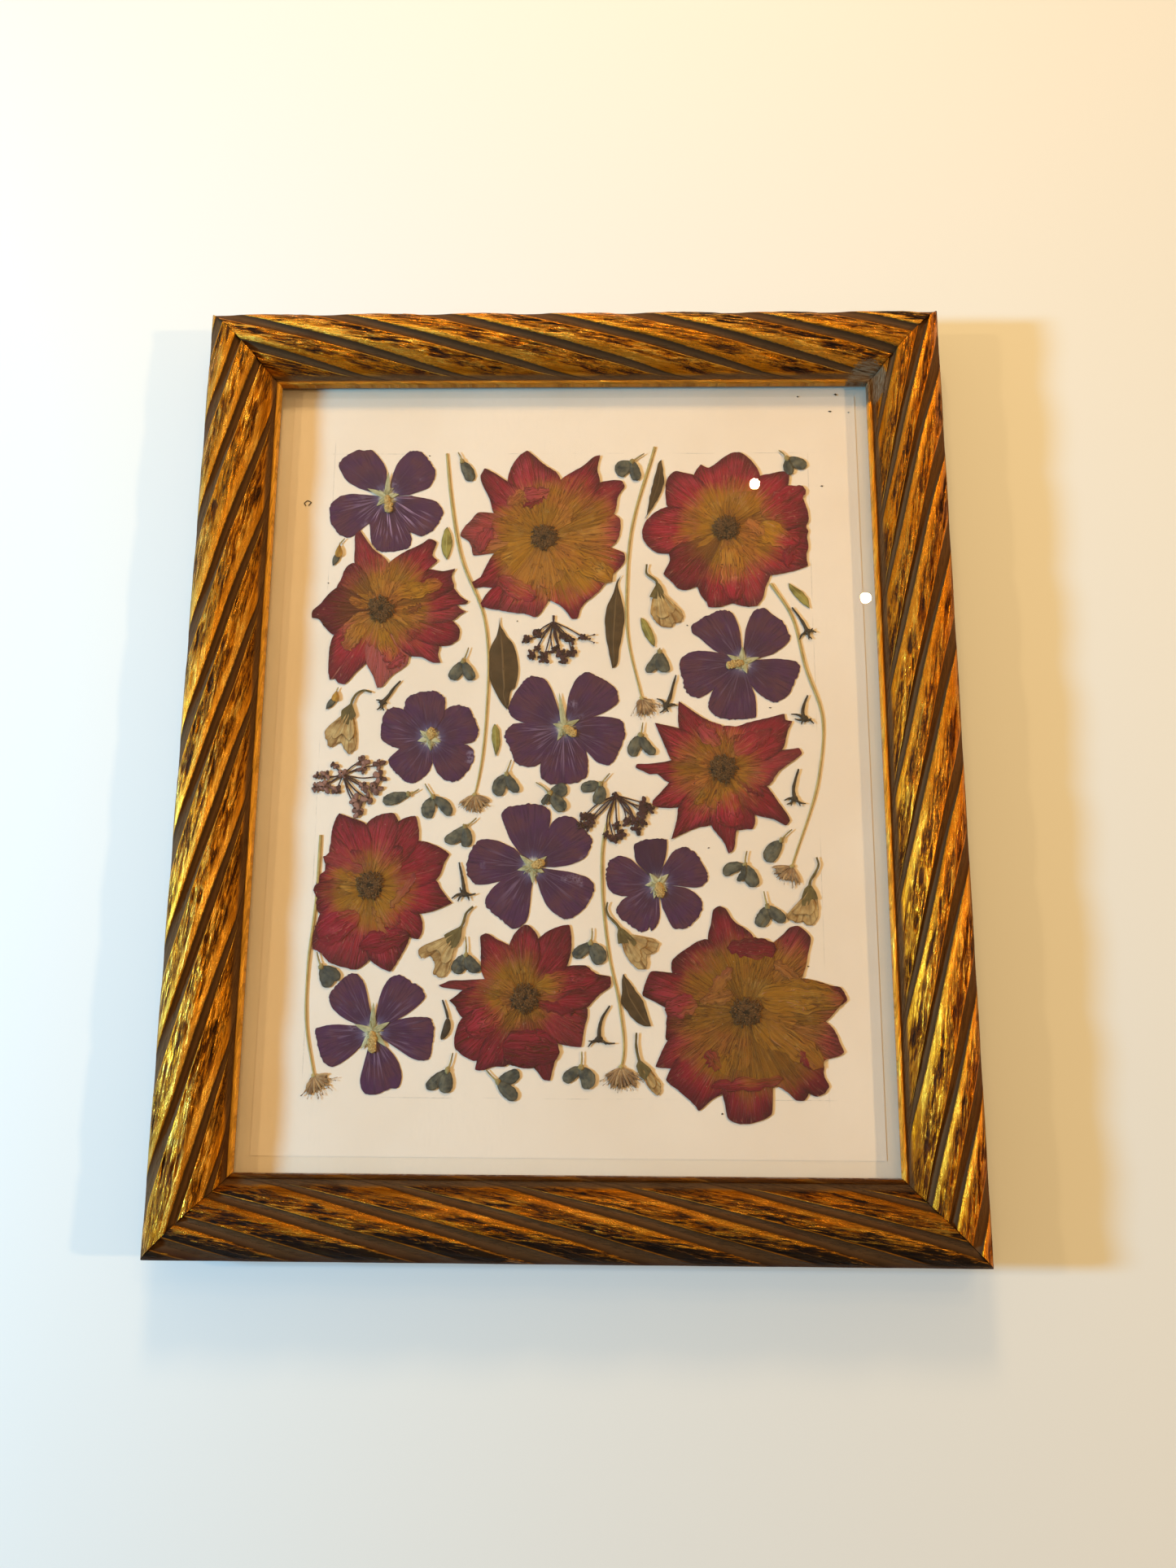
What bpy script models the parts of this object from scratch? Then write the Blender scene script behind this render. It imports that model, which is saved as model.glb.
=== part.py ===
"""Pressed flower frame.

Four mitred rails of carved and gilded moulding hold a glass pane, a sheet with pressed flowers,
a cream backing sheet and a backing board. Framer's points hold the board in the rabbet, and a
sawtooth hanger is nailed to its back.

The frame lies on its back: +Z is its face, +Y its top edge, and the origin is the centre of its
back plane. All sizes below are in millimetres.
"""
import math

import bmesh
import bpy
from mathutils import Matrix, Vector

MM = 0.001

# Driving dimensions
SIGHT_WIDTH = 270.0            # the opening seen from the front
SIGHT_HEIGHT = 348.0
FACE_WIDTH = 32.5              # moulding, from the sight edge to its outer side
RABBET_WIDTH = 6.0
RABBET_DEPTH = 14.0            # from the back plane to the underside of the lip
FIT_GAP = 0.3                  # between pieces that touch
MITRE_TRIM = 0.15              # taken off each mitred end

# The moulding's face from the lip to the outer side: distance out from the sight edge, height
# above the back plane, and how deep the carved flutes are there
LIP_HEIGHT = 17.5
LIP_WIDTH = 1.8
FACE_PROFILE = (
    (2.2, 17.0, 0.0),
    (4.5, 18.0, 0.3),
    (7.0, 21.5, 1.1),
    (11.0, 25.8, 1.6),
    (15.0, 28.8, 1.8),
    (19.0, 30.0, 1.7),
    (23.0, 29.9, 1.6),
    (27.0, 28.9, 1.3),
    (29.6, 27.0, 0.9),
    (31.3, 24.3, 0.5),
    (32.2, 21.2, 0.0),
    (32.5, 18.0, 0.0),
)
FLUTE_EDGE_SHARE = 0.25        # how far the flute's edges sink, as a share of its depth
FLUTE_HALF_WIDTH = 8.5         # along the rail
MIDLINE = 17.0                 # where the places of the flutes are given
FLUTE_SLOPE = 4.15             # how far a flute moves along the rail for each unit outwards
FLUTE_BEND_OUTER = 0.045       # and how it bends, by the square of the distance from the midline
FLUTE_BEND_INNER = 0.05

# Places where the flutes cross the midline, along each rail from its middle. The carving is by
# hand, so its spacing is uneven. The outermost ones are cut off by the mitres.
FLUTES = {
    "rail_top": (-254, -208, -161, -115, -67, -18, 27, 72, 121, 165, 208, 254),
    "rail_right": (-300, -256, -214, -172, -136, -93, -47, -3, 48, 90, 142, 182, 225, 270),
    "rail_bottom": (-270, -224, -178, -132, -85, -40, 8, 52, 97, 146, 187, 230, 275),
    "rail_left": (-316, -270, -226, -187, -134, -86, -42, 3, 47, 94, 146, 192, 236, 282),
}

# What lies in the rabbet, from the back
BOARD_BOTTOM = 5.0
BOARD_THICKNESS = 3.0
BOARD_SIZE = (279.0, 357.0)
BACKING_SHEET_BOTTOM = 8.3
BACKING_SHEET_THICKNESS = 0.4
BACKING_SHEET_SIZE = (278.0, 356.0)
FLOWER_SHEET_BOTTOM = 9.0
FLOWER_SHEET_THICKNESS = 0.35
FLOWER_SHEET_EDGES = (-130.0, 130.5, -168.0, 171.0)    # left, right, bottom, top
GLASS_BOTTOM = 11.6
GLASS_THICKNESS = 2.0
GLASS_SIZE = (279.4, 355.6)    # the standard pane, 11 by 14 inches

# The pressed pieces lie in three layers, because some of them overlap
PRESSED_THICKNESS = 0.35
LAYER_BOTTOMS = (9.65, 10.3, 10.95)

POINT_WIDTH = 8.0
POINT_THICKNESS = 0.4
POINT_SHOWN = 6.0              # over the board
POINT_DRIVEN = 4.5             # in the wood, to its tip
POINT_SHOULDER = 1.0           # in the wood, where it starts to narrow
POINT_BOTTOM = BOARD_BOTTOM - FIT_GAP - POINT_THICKNESS
POINTS = {                     # rail, place along it
    "point_top": ("rail_top", 20.0),
    "point_right_upper": ("rail_right", -95.0),
    "point_right_lower": ("rail_right", 100.0),
    "point_bottom": ("rail_bottom", 12.0),
    "point_left_lower": ("rail_left", -98.0),
    "point_left_upper": ("rail_left", 96.0),
}

HANGER_Y = 150.0
HANGER_WIDTH = 9.0
HANGER_THICKNESS = 0.8
HANGER_FOOT = 23.0             # half its length
HANGER_BEND = (17.0, 15.0)     # where it leaves the board, and where it runs level again
HANGER_RISE = 2.0
TOOTH_PITCH = 4.0
TOOTH_COUNT = 7
TOOTH_BAR = 2.0                # side of the square cut between two teeth
NAIL_X = 20.0
NAIL_SHANK_RADIUS = 0.6
NAIL_HEAD_RADIUS = 1.8
NAIL_HEAD_HEIGHT = 0.6
NAIL_IN_BOARD = 2.2
NAIL_HOLE_RADIUS = 1.0
NAIL_TIP = 1.0
TURN_STEPS = 12                # corners of a round piece

STEM_WIDTH = 1.4
RAY_WIDTH = 0.7
HUB_RADIUS = 2.1
CLUSTER_ANGLES = (50, 105, 155, 205, 255, 310)         # corners of a cluster, from its ray
RAY_END = 0.8                  # a ray ends this share of the cluster's radius before its centre

# Pressed flowers: centre on the sheet, then the outline about that centre, clockwise
ROSES = {
    "rose_left_upper": ((-85.5, 67.5), (
        (-13, 22), (-13, 36), (-11, 38), (2.5, 22), (10, 27.5), (21, 33.5), (24, 32), (24.5, 23), (21, 19),
        (33, 19), (32, 10), (39, 3.5), (34, 2), (38.5, -1), (32, -5), (35.5, -11), (26.5, -17.5), (27.5, -25),
        (13.5, -22), (12.5, -27), (5, -32), (0, -37), (-5.5, -25), (-15, -35), (-21.5, -33), (-20.5, -12),
        (-31, -4), (-31, -1), (-20.5, 10), (-17.5, 18.5))),
    "rose_top_middle": ((-12.5, 101.5), (
        (-17, 28), (-10.5, 41.5), (-5, 40), (7, 28), (18, 35.5), (25, 40), (25.5, 27), (36, 27), (31.5, 11.5),
        (34.5, 5), (31, -4.5), (36.5, -9), (29, -20), (19.5, -30), (14, -38.5), (2.5, -29.5), (-3.5, -37.5),
        (-20, -34), (-28.5, -32.5), (-22.5, -24), (-33, -22), (-22.5, -7.5), (-32, -8), (-38, 1), (-31, 12),
        (-23, 12), (-29.5, 31), (-28, 34))),
    "rose_top_right": ((70.0, 105.5), (
        (-14.5, 26), (-11, 31.5), (0, 35), (6, 38), (11, 34.5), (16, 26), (28, 27.5), (28.5, 21), (35.5, 14),
        (37, 0), (36.5, -17.5), (19.5, -22), (13, -36.5), (1, -35.5), (-8.5, -37), (-13.5, -28), (-22, -28.5),
        (-28, -21), (-26, -12), (-35.5, -8.5), (-38, -2), (-34, 7), (-26.5, 11), (-26.5, 24), (-20, 28))),
    "rose_right_middle": ((67.0, -5.5), (
        (-19, 18), (-19, 30), (-6, 21.5), (2, 19), (27, 24.5), (30, 21), (25.5, 8.6), (33.5, 9), (18.5, -7.5),
        (28, -23), (26.5, -25), (13, -20), (12, -26), (5, -27), (2, -37), (-6, -24.5), (-23, -31), (-20, -17),
        (-31, -15.5), (-24, -6), (-38, 1.5), (-22.5, 4), (-29.5, 20.5))),
    "rose_left_lower": ((-85.0, -57.0), (
        (-17.5, 22), (-15, 31.5), (-3, 26.5), (2, 30.5), (9, 31.5), (11, 28), (18, 30.5), (20, 19.5), (33.5, 13),
        (28, 2.5), (35, -7), (21.5, -12), (22, -22), (17.5, -21.5), (10, -36), (0.5, -31), (-5, -35.5),
        (-18, -31), (-24, -26), (-21, -12), (-24.5, -1.5), (-20, 6.5), (-20, 11), (-17, 12))),
    "rose_bottom_middle": ((-18.0, -104.0), (
        (-7, 22), (0, 31), (5.5, 25), (18.5, 30.5), (17.5, 13.5), (28, 12), (36, 9), (36.5, 6), (25.5, -4),
        (24, -19.5), (14, -18), (11, -33), (4, -28), (-8, -27), (-20, -29), (-19.5, -25.5), (-29, -19),
        (-26, -8), (-31.5, -1), (-25, 4), (-36, 5), (-17, 8), (-19, 26))),
    "rose_bottom_right": ((74.5, -109.0), (
        (-15.5, 30), (-12.5, 43.5), (-9, 44), (4, 31), (12, 28.5), (21, 35.5), (27.5, 31), (23.5, 14), (41, 10.5),
        (42, 5), (33, -3.5), (40, -16), (31.5, -20.5), (33.5, -29.5), (28, -33.5), (21.5, -35.5), (10.5, -30.5),
        (9.5, -41), (-7, -44.5), (-10.5, -33), (-20.5, -39.5), (-33, -27.5), (-31.5, -23), (-37.5, -22.5),
        (-33, -12), (-33, 1), (-43, 7), (-39.5, 16.5), (-30.5, 16), (-29, 23))),
}
MALLOWS = {
    "mallow_top_left": ((-85.0, 121.5), (
        (-13, 4.5), (-23, 16), (-14, 23.5), (-6, 22), (-1, 14), (0, 5), (2, 12), (7, 21), (13, 23), (22, 12),
        (16, 3), (9, 1), (24, -3), (26, -6), (22, -16), (13.5, -18.5), (10.5, -16), (12, -21), (9, -26),
        (-2, -26.5), (-7.5, -18), (-7, -13), (-14, -18.5), (-21, -18), (-26, -8), (-22, 0), (-12, 1.5), (-5, 0.5))),
    "mallow_right_upper": ((76.0, 42.5), (
        (-8, 3.5), (-22, 14), (-19, 19.5), (-9, 24.5), (-4.5, 23.5), (0, 10), (4.5, 21.5), (10, 25), (18, 19),
        (21.5, 11), (8, 2.5), (18, 1.5), (25, -1), (22, -11), (14, -18), (4, -10), (6, -20), (5, -25),
        (-9, -25.5), (-15, -21), (-13, -12.5), (-20, -16), (-26, -11), (-27.5, -1.5), (-24, 4.5), (-12, 5))),
    "mallow_middle_left": ((-61.5, 8.0), (
        (-11.5, 13), (-11, 18), (-1, 21.5), (5.5, 19), (6.5, 13), (14, 15), (21, 4), (16.5, -3), (19.5, -8),
        (11, -19.5), (1.5, -11), (-8, -20), (-17.5, -11), (-13, -5), (-21, -1), (-21, 9), (-16, 14))),
    "mallow_middle": ((-2.5, 13.0), (
        (-12, 2.5), (-23, 5), (-24.5, 9), (-18, 21), (-10, 22.5), (-4.5, 14), (-1, 6), (1.5, 13), (9.5, 25),
        (19, 21), (23.5, 14), (10, 4.5), (22, 4), (26.5, -1), (22.5, -14), (18, -17), (9, -9), (10.5, -20),
        (1, -25.5), (-9.5, -23), (-10, -16), (-17, -18), (-26, -3), (-21, 1.5))),
    "mallow_lower_middle": ((-15.5, -48.5), (
        (-6, 6.5), (-14, 23), (-7, 26.5), (4, 26.5), (7.5, 20), (5, 9), (12, 22), (20, 19), (25, 10), (16, 1),
        (5, -1.5), (20, -3), (26, -8), (20, -20), (14, -22), (5, -13), (0, -7), (-3.5, -24.5), (-7, -26),
        (-19.5, -17), (-13.5, -6.5), (-25, -7), (-28.5, 0), (-24, 11), (-13, 10))),
    "mallow_lower_right": ((38.0, -55.5), (
        (-8.5, 9), (-10, 17), (4, 19.5), (2.5, 8), (8, 14.5), (13, 15.5), (21, 4), (19, -1), (12, -2), (19, -9),
        (12, -19), (7, -19), (1.5, -9), (-2.5, -20), (-7, -20.5), (-17.5, -11), (-12, -5.5), (-21, -2),
        (-21.5, 6), (-17, 12))),
    "mallow_bottom_left": ((-81.5, -118.0), (
        (-6, 3.5), (-18, 11), (-19, 15), (-8, 24), (-2, 13), (0, 5), (2, 13), (8, 23), (21.5, 15), (6, 4),
        (20, 6), (25.5, 2), (24, -11), (10, -6), (4, -3), (12, -14), (12.5, -22), (0, -25.5), (-4, -21),
        (-1, -6), (-12, -12.5), (-18, -14), (-24, -1), (-19, 2.5))),
}
LEAVES = {
    "leaf_broad": ((-30.0, 42.5), (
        (-2, 21), (1, 13), (6.5, 1), (6.5, -6), (3, -13.5), (3, -18), (1.5, -21.5), (-5.5, -8), (-6.5, 0), (-3, 13))),
    "leaf_long": ((20.5, 61.5), (
        (2, 22), (2, 11), (3.3, 2), (1.5, -10), (-1, -21), (-2, -21.5), (-4.5, -9), (-5.3, 1), (-3.5, 10), (0, 19))),
    "leaf_top": ((37.5, 125.5), (
        (3.5, 14), (4.5, 5), (2.5, -3), (-4, -15), (-2.5, -7), (0.5, 7))),
    "leaf_lower_right": ((29.0, -104.5), (
        (-5.5, 11), (1.5, 1.5), (6, -10.5), (-1, -8), (-6.5, -0.5), (-6.2, 9))),
    "leaf_small_left": ((-57.0, 99.0), ((0.3, 8), (2.7, 0), (0.5, -8), (-2.3, -1))),
    "leaf_small_middle": ((-32.5, 7.5), ((-0.5, 7), (1.8, 0), (0.2, -7.5), (-1.6, 0))),
    "leaf_small_right": ((34.0, 56.5), ((-2.7, 7), (0.7, 3.7), (3.4, -3), (3.3, -6.8), (-1, -1.5), (-2.9, 5))),
    "leaf_far_right": ((102.0, 74.0), ((-4.6, 5.7), (1.5, 1.5), (3.9, -1.7), (4.6, -6.3), (-0.2, -2.2), (-4.2, 3.7))),
}

# Daisies: the stem's route from its cut end to the head, then the head's outline about its own
# centre, clockwise from the right of the stem
DAISIES = {
    "daisy_left_middle": (
        ((-58, 143), (-55.5, 121.5), (-49.5, 90.5), (-39.5, 65.5), (-36.5, 43.5), (-37, 18.5), (-41, -17)),
        (-41.0, -21.5),
        ((1.7, 4), (7, 1), (2, -3.5), (-4.6, -2.4), (-7, 0.7), (-2.2, 3.9))),
    "daisy_right_middle": (
        ((38, 146), (31, 121.5), (26.5, 101.5), (25, 79.5), (25.5, 54.5), (28.5, 38), (31.5, 26)),
        (33.0, 23.0),
        ((0.2, 3.4), (4.6, 0.7), (4, -3), (2, -5.2), (-3.7, -3.2), (-4, 1))),
    "daisy_far_right": (
        ((89.5, 79.5), (98, 65.5), (104, 40), (110.5, 18.5), (108.5, -7), (101.5, -30.5), (95.5, -48)),
        (92.5, -52.0),
        ((4.1, 2.2), (6.6, -3.4), (-0.7, -3.2), (-6, 3.7), (1.5, 4.2))),
    "daisy_far_left": (
        ((-107.5, -35), (-108, -63), (-110, -90), (-109.5, -115), (-105, -136)),
        (-103.5, -140.5),
        ((1.2, 4.6), (5.6, 1.7), (-0.7, -3.4), (-5.4, -2.7), (-3.7, 3.2))),
    "daisy_lower_middle": (
        ((19, -24), (15, -36), (14.5, -59.5), (17.5, -86.5), (22, -108), (22.5, -131.5)),
        (22.0, -136.0),
        ((3.2, 3.9), (7.3, -0.5), (4, -4.6), (-3, -4.9), (-7.3, -0.2), (-2.2, 3.4))),
}

# Umbels: hub, then for each ray the centre of its cluster about the hub and the cluster's
# radius, clockwise
UMBELS = {
    "umbel_upper": ((-8.0, 61.5), (((13.5, -7.5), 2.4), ((8.5, -16.5), 3.2), ((-2, -15.5), 3.0),
                                   ((-9.5, -14), 3.4), ((-10, -4.5), 3.0))),
    "umbel_left": ((-99.0, -8.5), (((8.5, 4.5), 2.8), ((15.5, 1.0), 3.2), ((10.5, -6), 3.0), ((7, -12.5), 3.6),
                                   ((-3, -7), 2.4), ((-8.5, -3.5), 3.2), ((-4, 4.5), 1.8))),
    "umbel_lower": ((20.0, -17.5), (((11, -5.5), 2.6), ((6, -12), 3.2), ((-3, -16.5), 3.0), ((-11, -10.5), 3.6))),
}

# Tubular flowers: centre, the stalk's route, and the outline of calyx and petals about that
# centre, clockwise from the right of the stalk
TRUMPETS = {
    "trumpet_upper_right": (
        (40.0, 75.0), ((-6, 13.5), (-6.2, 9.5), (-1.7, 4.8)),
        ((1.5, 0.6), (2, -4), (7, -6), (10, -10), (8.3, -14), (1, -16), (-4.3, -10), (-3.5, -3), (-3.4, 1.2))),
    "trumpet_left": (
        (-96.0, 16.5), ((8, 12.2), (4.3, 13.2), (1.2, 11.4), (-1, 8)),
        ((0.5, 1), (2.2, -7), (1.5, -13.5), (-1, -15.7), (-5, -10.5), (-9.5, -13), (-12, -6), (-9.8, -2.5),
         (-5, 0), (-4.9, 4))),
    "trumpet_lower_left": (
        (-49.5, -79.0), ((8.9, 13.4), (6.2, 10.8), (4, 4.8)),
        ((4, 0), (1.2, -5), (0, -10), (-2, -15), (-5, -16.5), (-7, -11), (-9, -7.5), (-12.6, -8.5), (-14, -5.5),
         (-8, -2.5), (-3, 1.2))),
    "trumpet_lower_middle": (
        (25.0, -76.0), ((-8.3, 12.5), (-8.9, 9.5), (-8, 7.1), (-4, 2.5)),
        ((1.8, -1.8), (4, -5.5), (8.3, -3), (13.4, -5), (11, -9), (8, -10), (7.5, -15.5), (4, -15), (-2, -6),
         (-4.2, -4))),
    "trumpet_far_right": (
        (102.5, -57.5), ((3.4, 13.5), (4.2, 10.5), (2.8, 7.1), (0.3, 2.8)),
        ((2.5, -1.2), (3.5, -8.5), (2.5, -13.5), (-0.6, -15.7), (-9.2, -12.9), (-10, -11), (-3, -7.7), (-3.4, -3.7),
         (-2, 0.5))),
    "trumpet_bottom": (
        (33.0, -130.0), ((-4.2, 12.3), (-4.3, 6.8), (-3.6, 2)),
        ((-1.8, 0.6), (1.8, -2.5), (6, -9.2), (4.3, -12.6), (2.5, -11.7), (-1, -7), (-4.4, -1.2))),
}

COLOURS = {                    # base colour, roughness, metallic
    "gilt_wood": ((0.50, 0.27, 0.05), 0.40, 0.6),
    "clear_glass": ((0.90, 0.95, 0.93), 0.05, 0.0),
    "cream_paper": ((0.82, 0.70, 0.55), 0.85, 0.0),
    "brown_board": ((0.36, 0.25, 0.16), 0.90, 0.0),
    "steel": ((0.42, 0.42, 0.44), 0.40, 1.0),
    "brass": ((0.60, 0.45, 0.18), 0.40, 1.0),
    "rose_petal": ((0.26, 0.03, 0.05), 0.80, 0.0),
    "purple_petal": ((0.09, 0.03, 0.10), 0.80, 0.0),
    "dry_leaf": ((0.08, 0.06, 0.03), 0.85, 0.0),
    "dry_stem": ((0.50, 0.42, 0.20), 0.80, 0.0),
    "dark_floret": ((0.06, 0.03, 0.03), 0.85, 0.0),
    "cream_petal": ((0.45, 0.28, 0.12), 0.80, 0.0),
}


def clear_scene():
    for old in list(bpy.data.objects):
        bpy.data.objects.remove(old, do_unlink=True)


def new_collection(name):
    collection = bpy.data.collections.new(name)
    bpy.context.scene.collection.children.link(collection)
    return collection


def material(name):
    """The material of that name, made the first time it is asked for."""
    if name in bpy.data.materials:
        return bpy.data.materials[name]
    made = bpy.data.materials.new(name)
    made.use_nodes = True
    colour, roughness, metallic = COLOURS[name]
    shader = made.node_tree.nodes["Principled BSDF"]
    shader.inputs["Base Color"].default_value = (*colour, 1.0)
    shader.inputs["Roughness"].default_value = roughness
    shader.inputs["Metallic"].default_value = metallic
    return made


def add_object(name, data, collection, material_name=None):
    made = bpy.data.objects.new(name, data)
    collection.objects.link(made)
    if material_name:
        data.materials.append(material(material_name))
    return made


def mesh_from(name, bm):
    mesh = bpy.data.meshes.new(name)
    bm.to_mesh(mesh)
    bm.free()
    return mesh


def box(name, size, centre, collection, material_name=None):
    """A box of the given size about a centre, both in millimetres."""
    bm = bmesh.new()
    bmesh.ops.create_cube(bm, size=1.0)
    bmesh.ops.scale(bm, vec=Vector(size) * MM, verts=bm.verts)
    made = add_object(name, mesh_from(name, bm), collection, material_name)
    made.location = Vector(centre) * MM
    return made


def cut(target, cutter):
    """Subtracts the cutter from the target."""
    cutter.hide_render = True
    cutter.display_type = "WIRE"
    boolean = target.modifiers.new("cut_" + cutter.name, "BOOLEAN")
    boolean.operation = "DIFFERENCE"
    boolean.solver = "EXACT"
    boolean.object = cutter


def flat_piece(name, outline, centre, bottom, thickness, collection, material_name):
    """A flat piece cut to an outline, which is given about its centre."""
    curve = bpy.data.curves.new(name, "CURVE")
    curve.dimensions = "2D"
    curve.fill_mode = "BOTH"
    curve.extrude = 0.5 * thickness * MM
    spline = curve.splines.new("POLY")
    spline.points.add(len(outline) - 1)
    for point, (x, y) in zip(spline.points, outline):
        point.co = (x * MM, y * MM, 0.0, 1.0)
    spline.use_cyclic_u = True
    made = add_object(name, curve, collection, material_name)
    made.location = Vector((centre[0], centre[1], bottom + 0.5 * thickness)) * MM
    return made


def ribbon_sides(route, width):
    """The two sides of a ribbon along a route: the left one forwards and the right one backwards."""
    left, right = [], []
    points = [Vector(p) for p in route]
    for i, here in enumerate(points):
        ahead = (points[min(i + 1, len(points) - 1)] - points[max(i - 1, 0)]).normalized()
        side = Vector((-ahead.y, ahead.x)) * 0.5 * width
        left.append(tuple(here + side))
        right.append(tuple(here - side))
    return left, right[::-1]


# Rails

def rail_frames():
    """For each rail: half the sight length, the middle of its sight edge, and its turn about Z."""
    half_width, half_height = 0.5 * SIGHT_WIDTH, 0.5 * SIGHT_HEIGHT
    return {
        "rail_top": (half_width, (0.0, half_height, 0.0), 0.0),
        "rail_right": (half_height, (half_width, 0.0, 0.0), -0.5 * math.pi),
        "rail_bottom": (half_width, (0.0, -half_height, 0.0), math.pi),
        "rail_left": (half_height, (-half_width, 0.0, 0.0), 0.5 * math.pi),
    }


def rail_matrix(rail):
    """Turns a rail's own frame (X along it, Y outwards, Z up) into the object's, in metres."""
    _, middle, turn = rail_frames()[rail]
    return Matrix.Translation(Vector(middle) * MM) @ Matrix.Rotation(turn, 4, "Z")


def flute_drift(out):
    """How far along the rail a flute has moved where it is this far out from the sight edge."""
    away = out - MIDLINE
    bend = FLUTE_BEND_OUTER if away > 0.0 else FLUTE_BEND_INNER
    return bend * away * away - FLUTE_SLOPE * away


def carved_stations(rail):
    """Stations along the rail, each with the share of the flute's depth that is cut there."""
    stations = []
    flutes = FLUTES[rail]
    for here, following in zip(flutes, flutes[1:] + (None,)):
        stations += [(here - FLUTE_HALF_WIDTH, FLUTE_EDGE_SHARE), (here, 1.0),
                     (here + FLUTE_HALF_WIDTH, FLUTE_EDGE_SHARE)]
        if following is not None:
            stations.append((0.5 * (here + following), 0.0))
    return stations


def rail_section(station, cut_share):
    """One section of the moulding at a station, as points (along, out, up) around its outline."""
    plain_start = [(RABBET_WIDTH, 0.0), (RABBET_WIDTH, RABBET_DEPTH), (0.0, RABBET_DEPTH),
                   (0.0, LIP_HEIGHT), (LIP_WIDTH, LIP_HEIGHT)]
    points = [(station, out, up) for out, up in plain_start]
    for out, up, depth in FACE_PROFILE:
        points.append((station + flute_drift(out), out, up - cut_share * depth))
    points.append((station, FACE_WIDTH, 0.0))
    return points


def carved_rail(rail, collection):
    """A moulding with slanting flutes, cut to length by its two mitres."""
    bm = bmesh.new()
    rings = []
    for station, cut_share in carved_stations(rail):
        rings.append([bm.verts.new(Vector(p) * MM) for p in rail_section(station, cut_share)])
    count = len(rings[0])
    for near, far in zip(rings[:-1], rings[1:]):
        for i in range(count):
            j = (i + 1) % count
            bm.faces.new((near[i], near[j], far[j], far[i]))
    bm.faces.new(rings[0][::-1])
    bm.faces.new(rings[-1])
    bmesh.ops.recalc_face_normals(bm, faces=bm.faces)
    bmesh.ops.triangulate(bm, faces=bm.faces)
    half_sight = rail_frames()[rail][0]
    for side in (-1.0, 1.0):
        normal = Vector((side, -1.0, 0.0)).normalized()
        corner = Vector((side * half_sight, 0.0, 0.0)) * MM - normal * MITRE_TRIM * MM
        cut_geometry = bmesh.ops.bisect_plane(
            bm, geom=bm.verts[:] + bm.edges[:] + bm.faces[:], dist=1e-6,
            plane_co=corner, plane_no=normal, clear_outer=True)["geom_cut"]
        rim = [e for e in cut_geometry if isinstance(e, bmesh.types.BMEdge)]
        bmesh.ops.contextual_create(bm, geom=rim)
    bmesh.ops.dissolve_degenerate(bm, dist=1e-5, edges=bm.edges)
    bmesh.ops.recalc_face_normals(bm, faces=bm.faces)
    made = add_object(rail, mesh_from(rail, bm), collection, "gilt_wood")
    made.matrix_world = rail_matrix(rail)
    return made


def build_rails(collection, cutters):
    rails = {rail: carved_rail(rail, collection) for rail in FLUTES}
    slot_size = (POINT_WIDTH + 2 * FIT_GAP, 2 * (POINT_DRIVEN + FIT_GAP), POINT_THICKNESS + 2 * FIT_GAP)
    for name, (rail, along) in POINTS.items():
        slot = box(name + "_slot", slot_size, (0, 0, 0), cutters)
        place = Vector((along, RABBET_WIDTH, POINT_BOTTOM + 0.5 * POINT_THICKNESS)) * MM
        slot.matrix_world = rail_matrix(rail) @ Matrix.Translation(place)
        cut(rails[rail], slot)


# Glazing, sheets and board

def build_stack(collection, cutters):
    """The pane, the two sheets and the board, all in the rabbet."""
    box("glass_pane", (*GLASS_SIZE, GLASS_THICKNESS), (0, 0, GLASS_BOTTOM + 0.5 * GLASS_THICKNESS),
        collection, "clear_glass")
    left, right, bottom, top = FLOWER_SHEET_EDGES
    box("flower_sheet", (right - left, top - bottom, FLOWER_SHEET_THICKNESS),
        (0.5 * (left + right), 0.5 * (bottom + top), FLOWER_SHEET_BOTTOM + 0.5 * FLOWER_SHEET_THICKNESS),
        collection, "cream_paper")
    box("backing_sheet", (*BACKING_SHEET_SIZE, BACKING_SHEET_THICKNESS),
        (0, 0, BACKING_SHEET_BOTTOM + 0.5 * BACKING_SHEET_THICKNESS), collection, "cream_paper")
    board = box("backing_board", (*BOARD_SIZE, BOARD_THICKNESS), (0, 0, BOARD_BOTTOM + 0.5 * BOARD_THICKNESS),
                collection, "brown_board")
    for side in (-1, 1):
        cut(board, nail_hole("board_hole", side, cutters))


# Hardware on the back

def build_points(collection):
    """Framer's points: thin plates driven into the rabbet's wall behind the board."""
    half = 0.5 * POINT_WIDTH
    outline = ((-half, -POINT_SHOWN), (half, -POINT_SHOWN), (half, POINT_SHOULDER),
               (0.0, POINT_DRIVEN), (-half, POINT_SHOULDER))
    for name, (rail, along) in POINTS.items():
        point = flat_piece(name, outline, (0, 0), 0.0, POINT_THICKNESS, collection, "steel")
        place = Vector((along, RABBET_WIDTH, POINT_BOTTOM + 0.5 * POINT_THICKNESS)) * MM
        point.matrix_world = rail_matrix(rail) @ Matrix.Translation(place)


def nail_hole(name, side, cutters):
    """A round cutter through the hanger's foot and into the board."""
    depth = BOARD_BOTTOM + NAIL_IN_BOARD + FIT_GAP
    bm = bmesh.new()
    bmesh.ops.create_cone(bm, cap_ends=True, segments=TURN_STEPS, radius1=NAIL_HOLE_RADIUS * MM,
                          radius2=NAIL_HOLE_RADIUS * MM, depth=depth * MM)
    hole = add_object(f"{name}_{'left' if side < 0 else 'right'}", mesh_from(name, bm), cutters)
    hole.location = Vector((side * NAIL_X, HANGER_Y, 0.5 * depth)) * MM
    return hole


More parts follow.
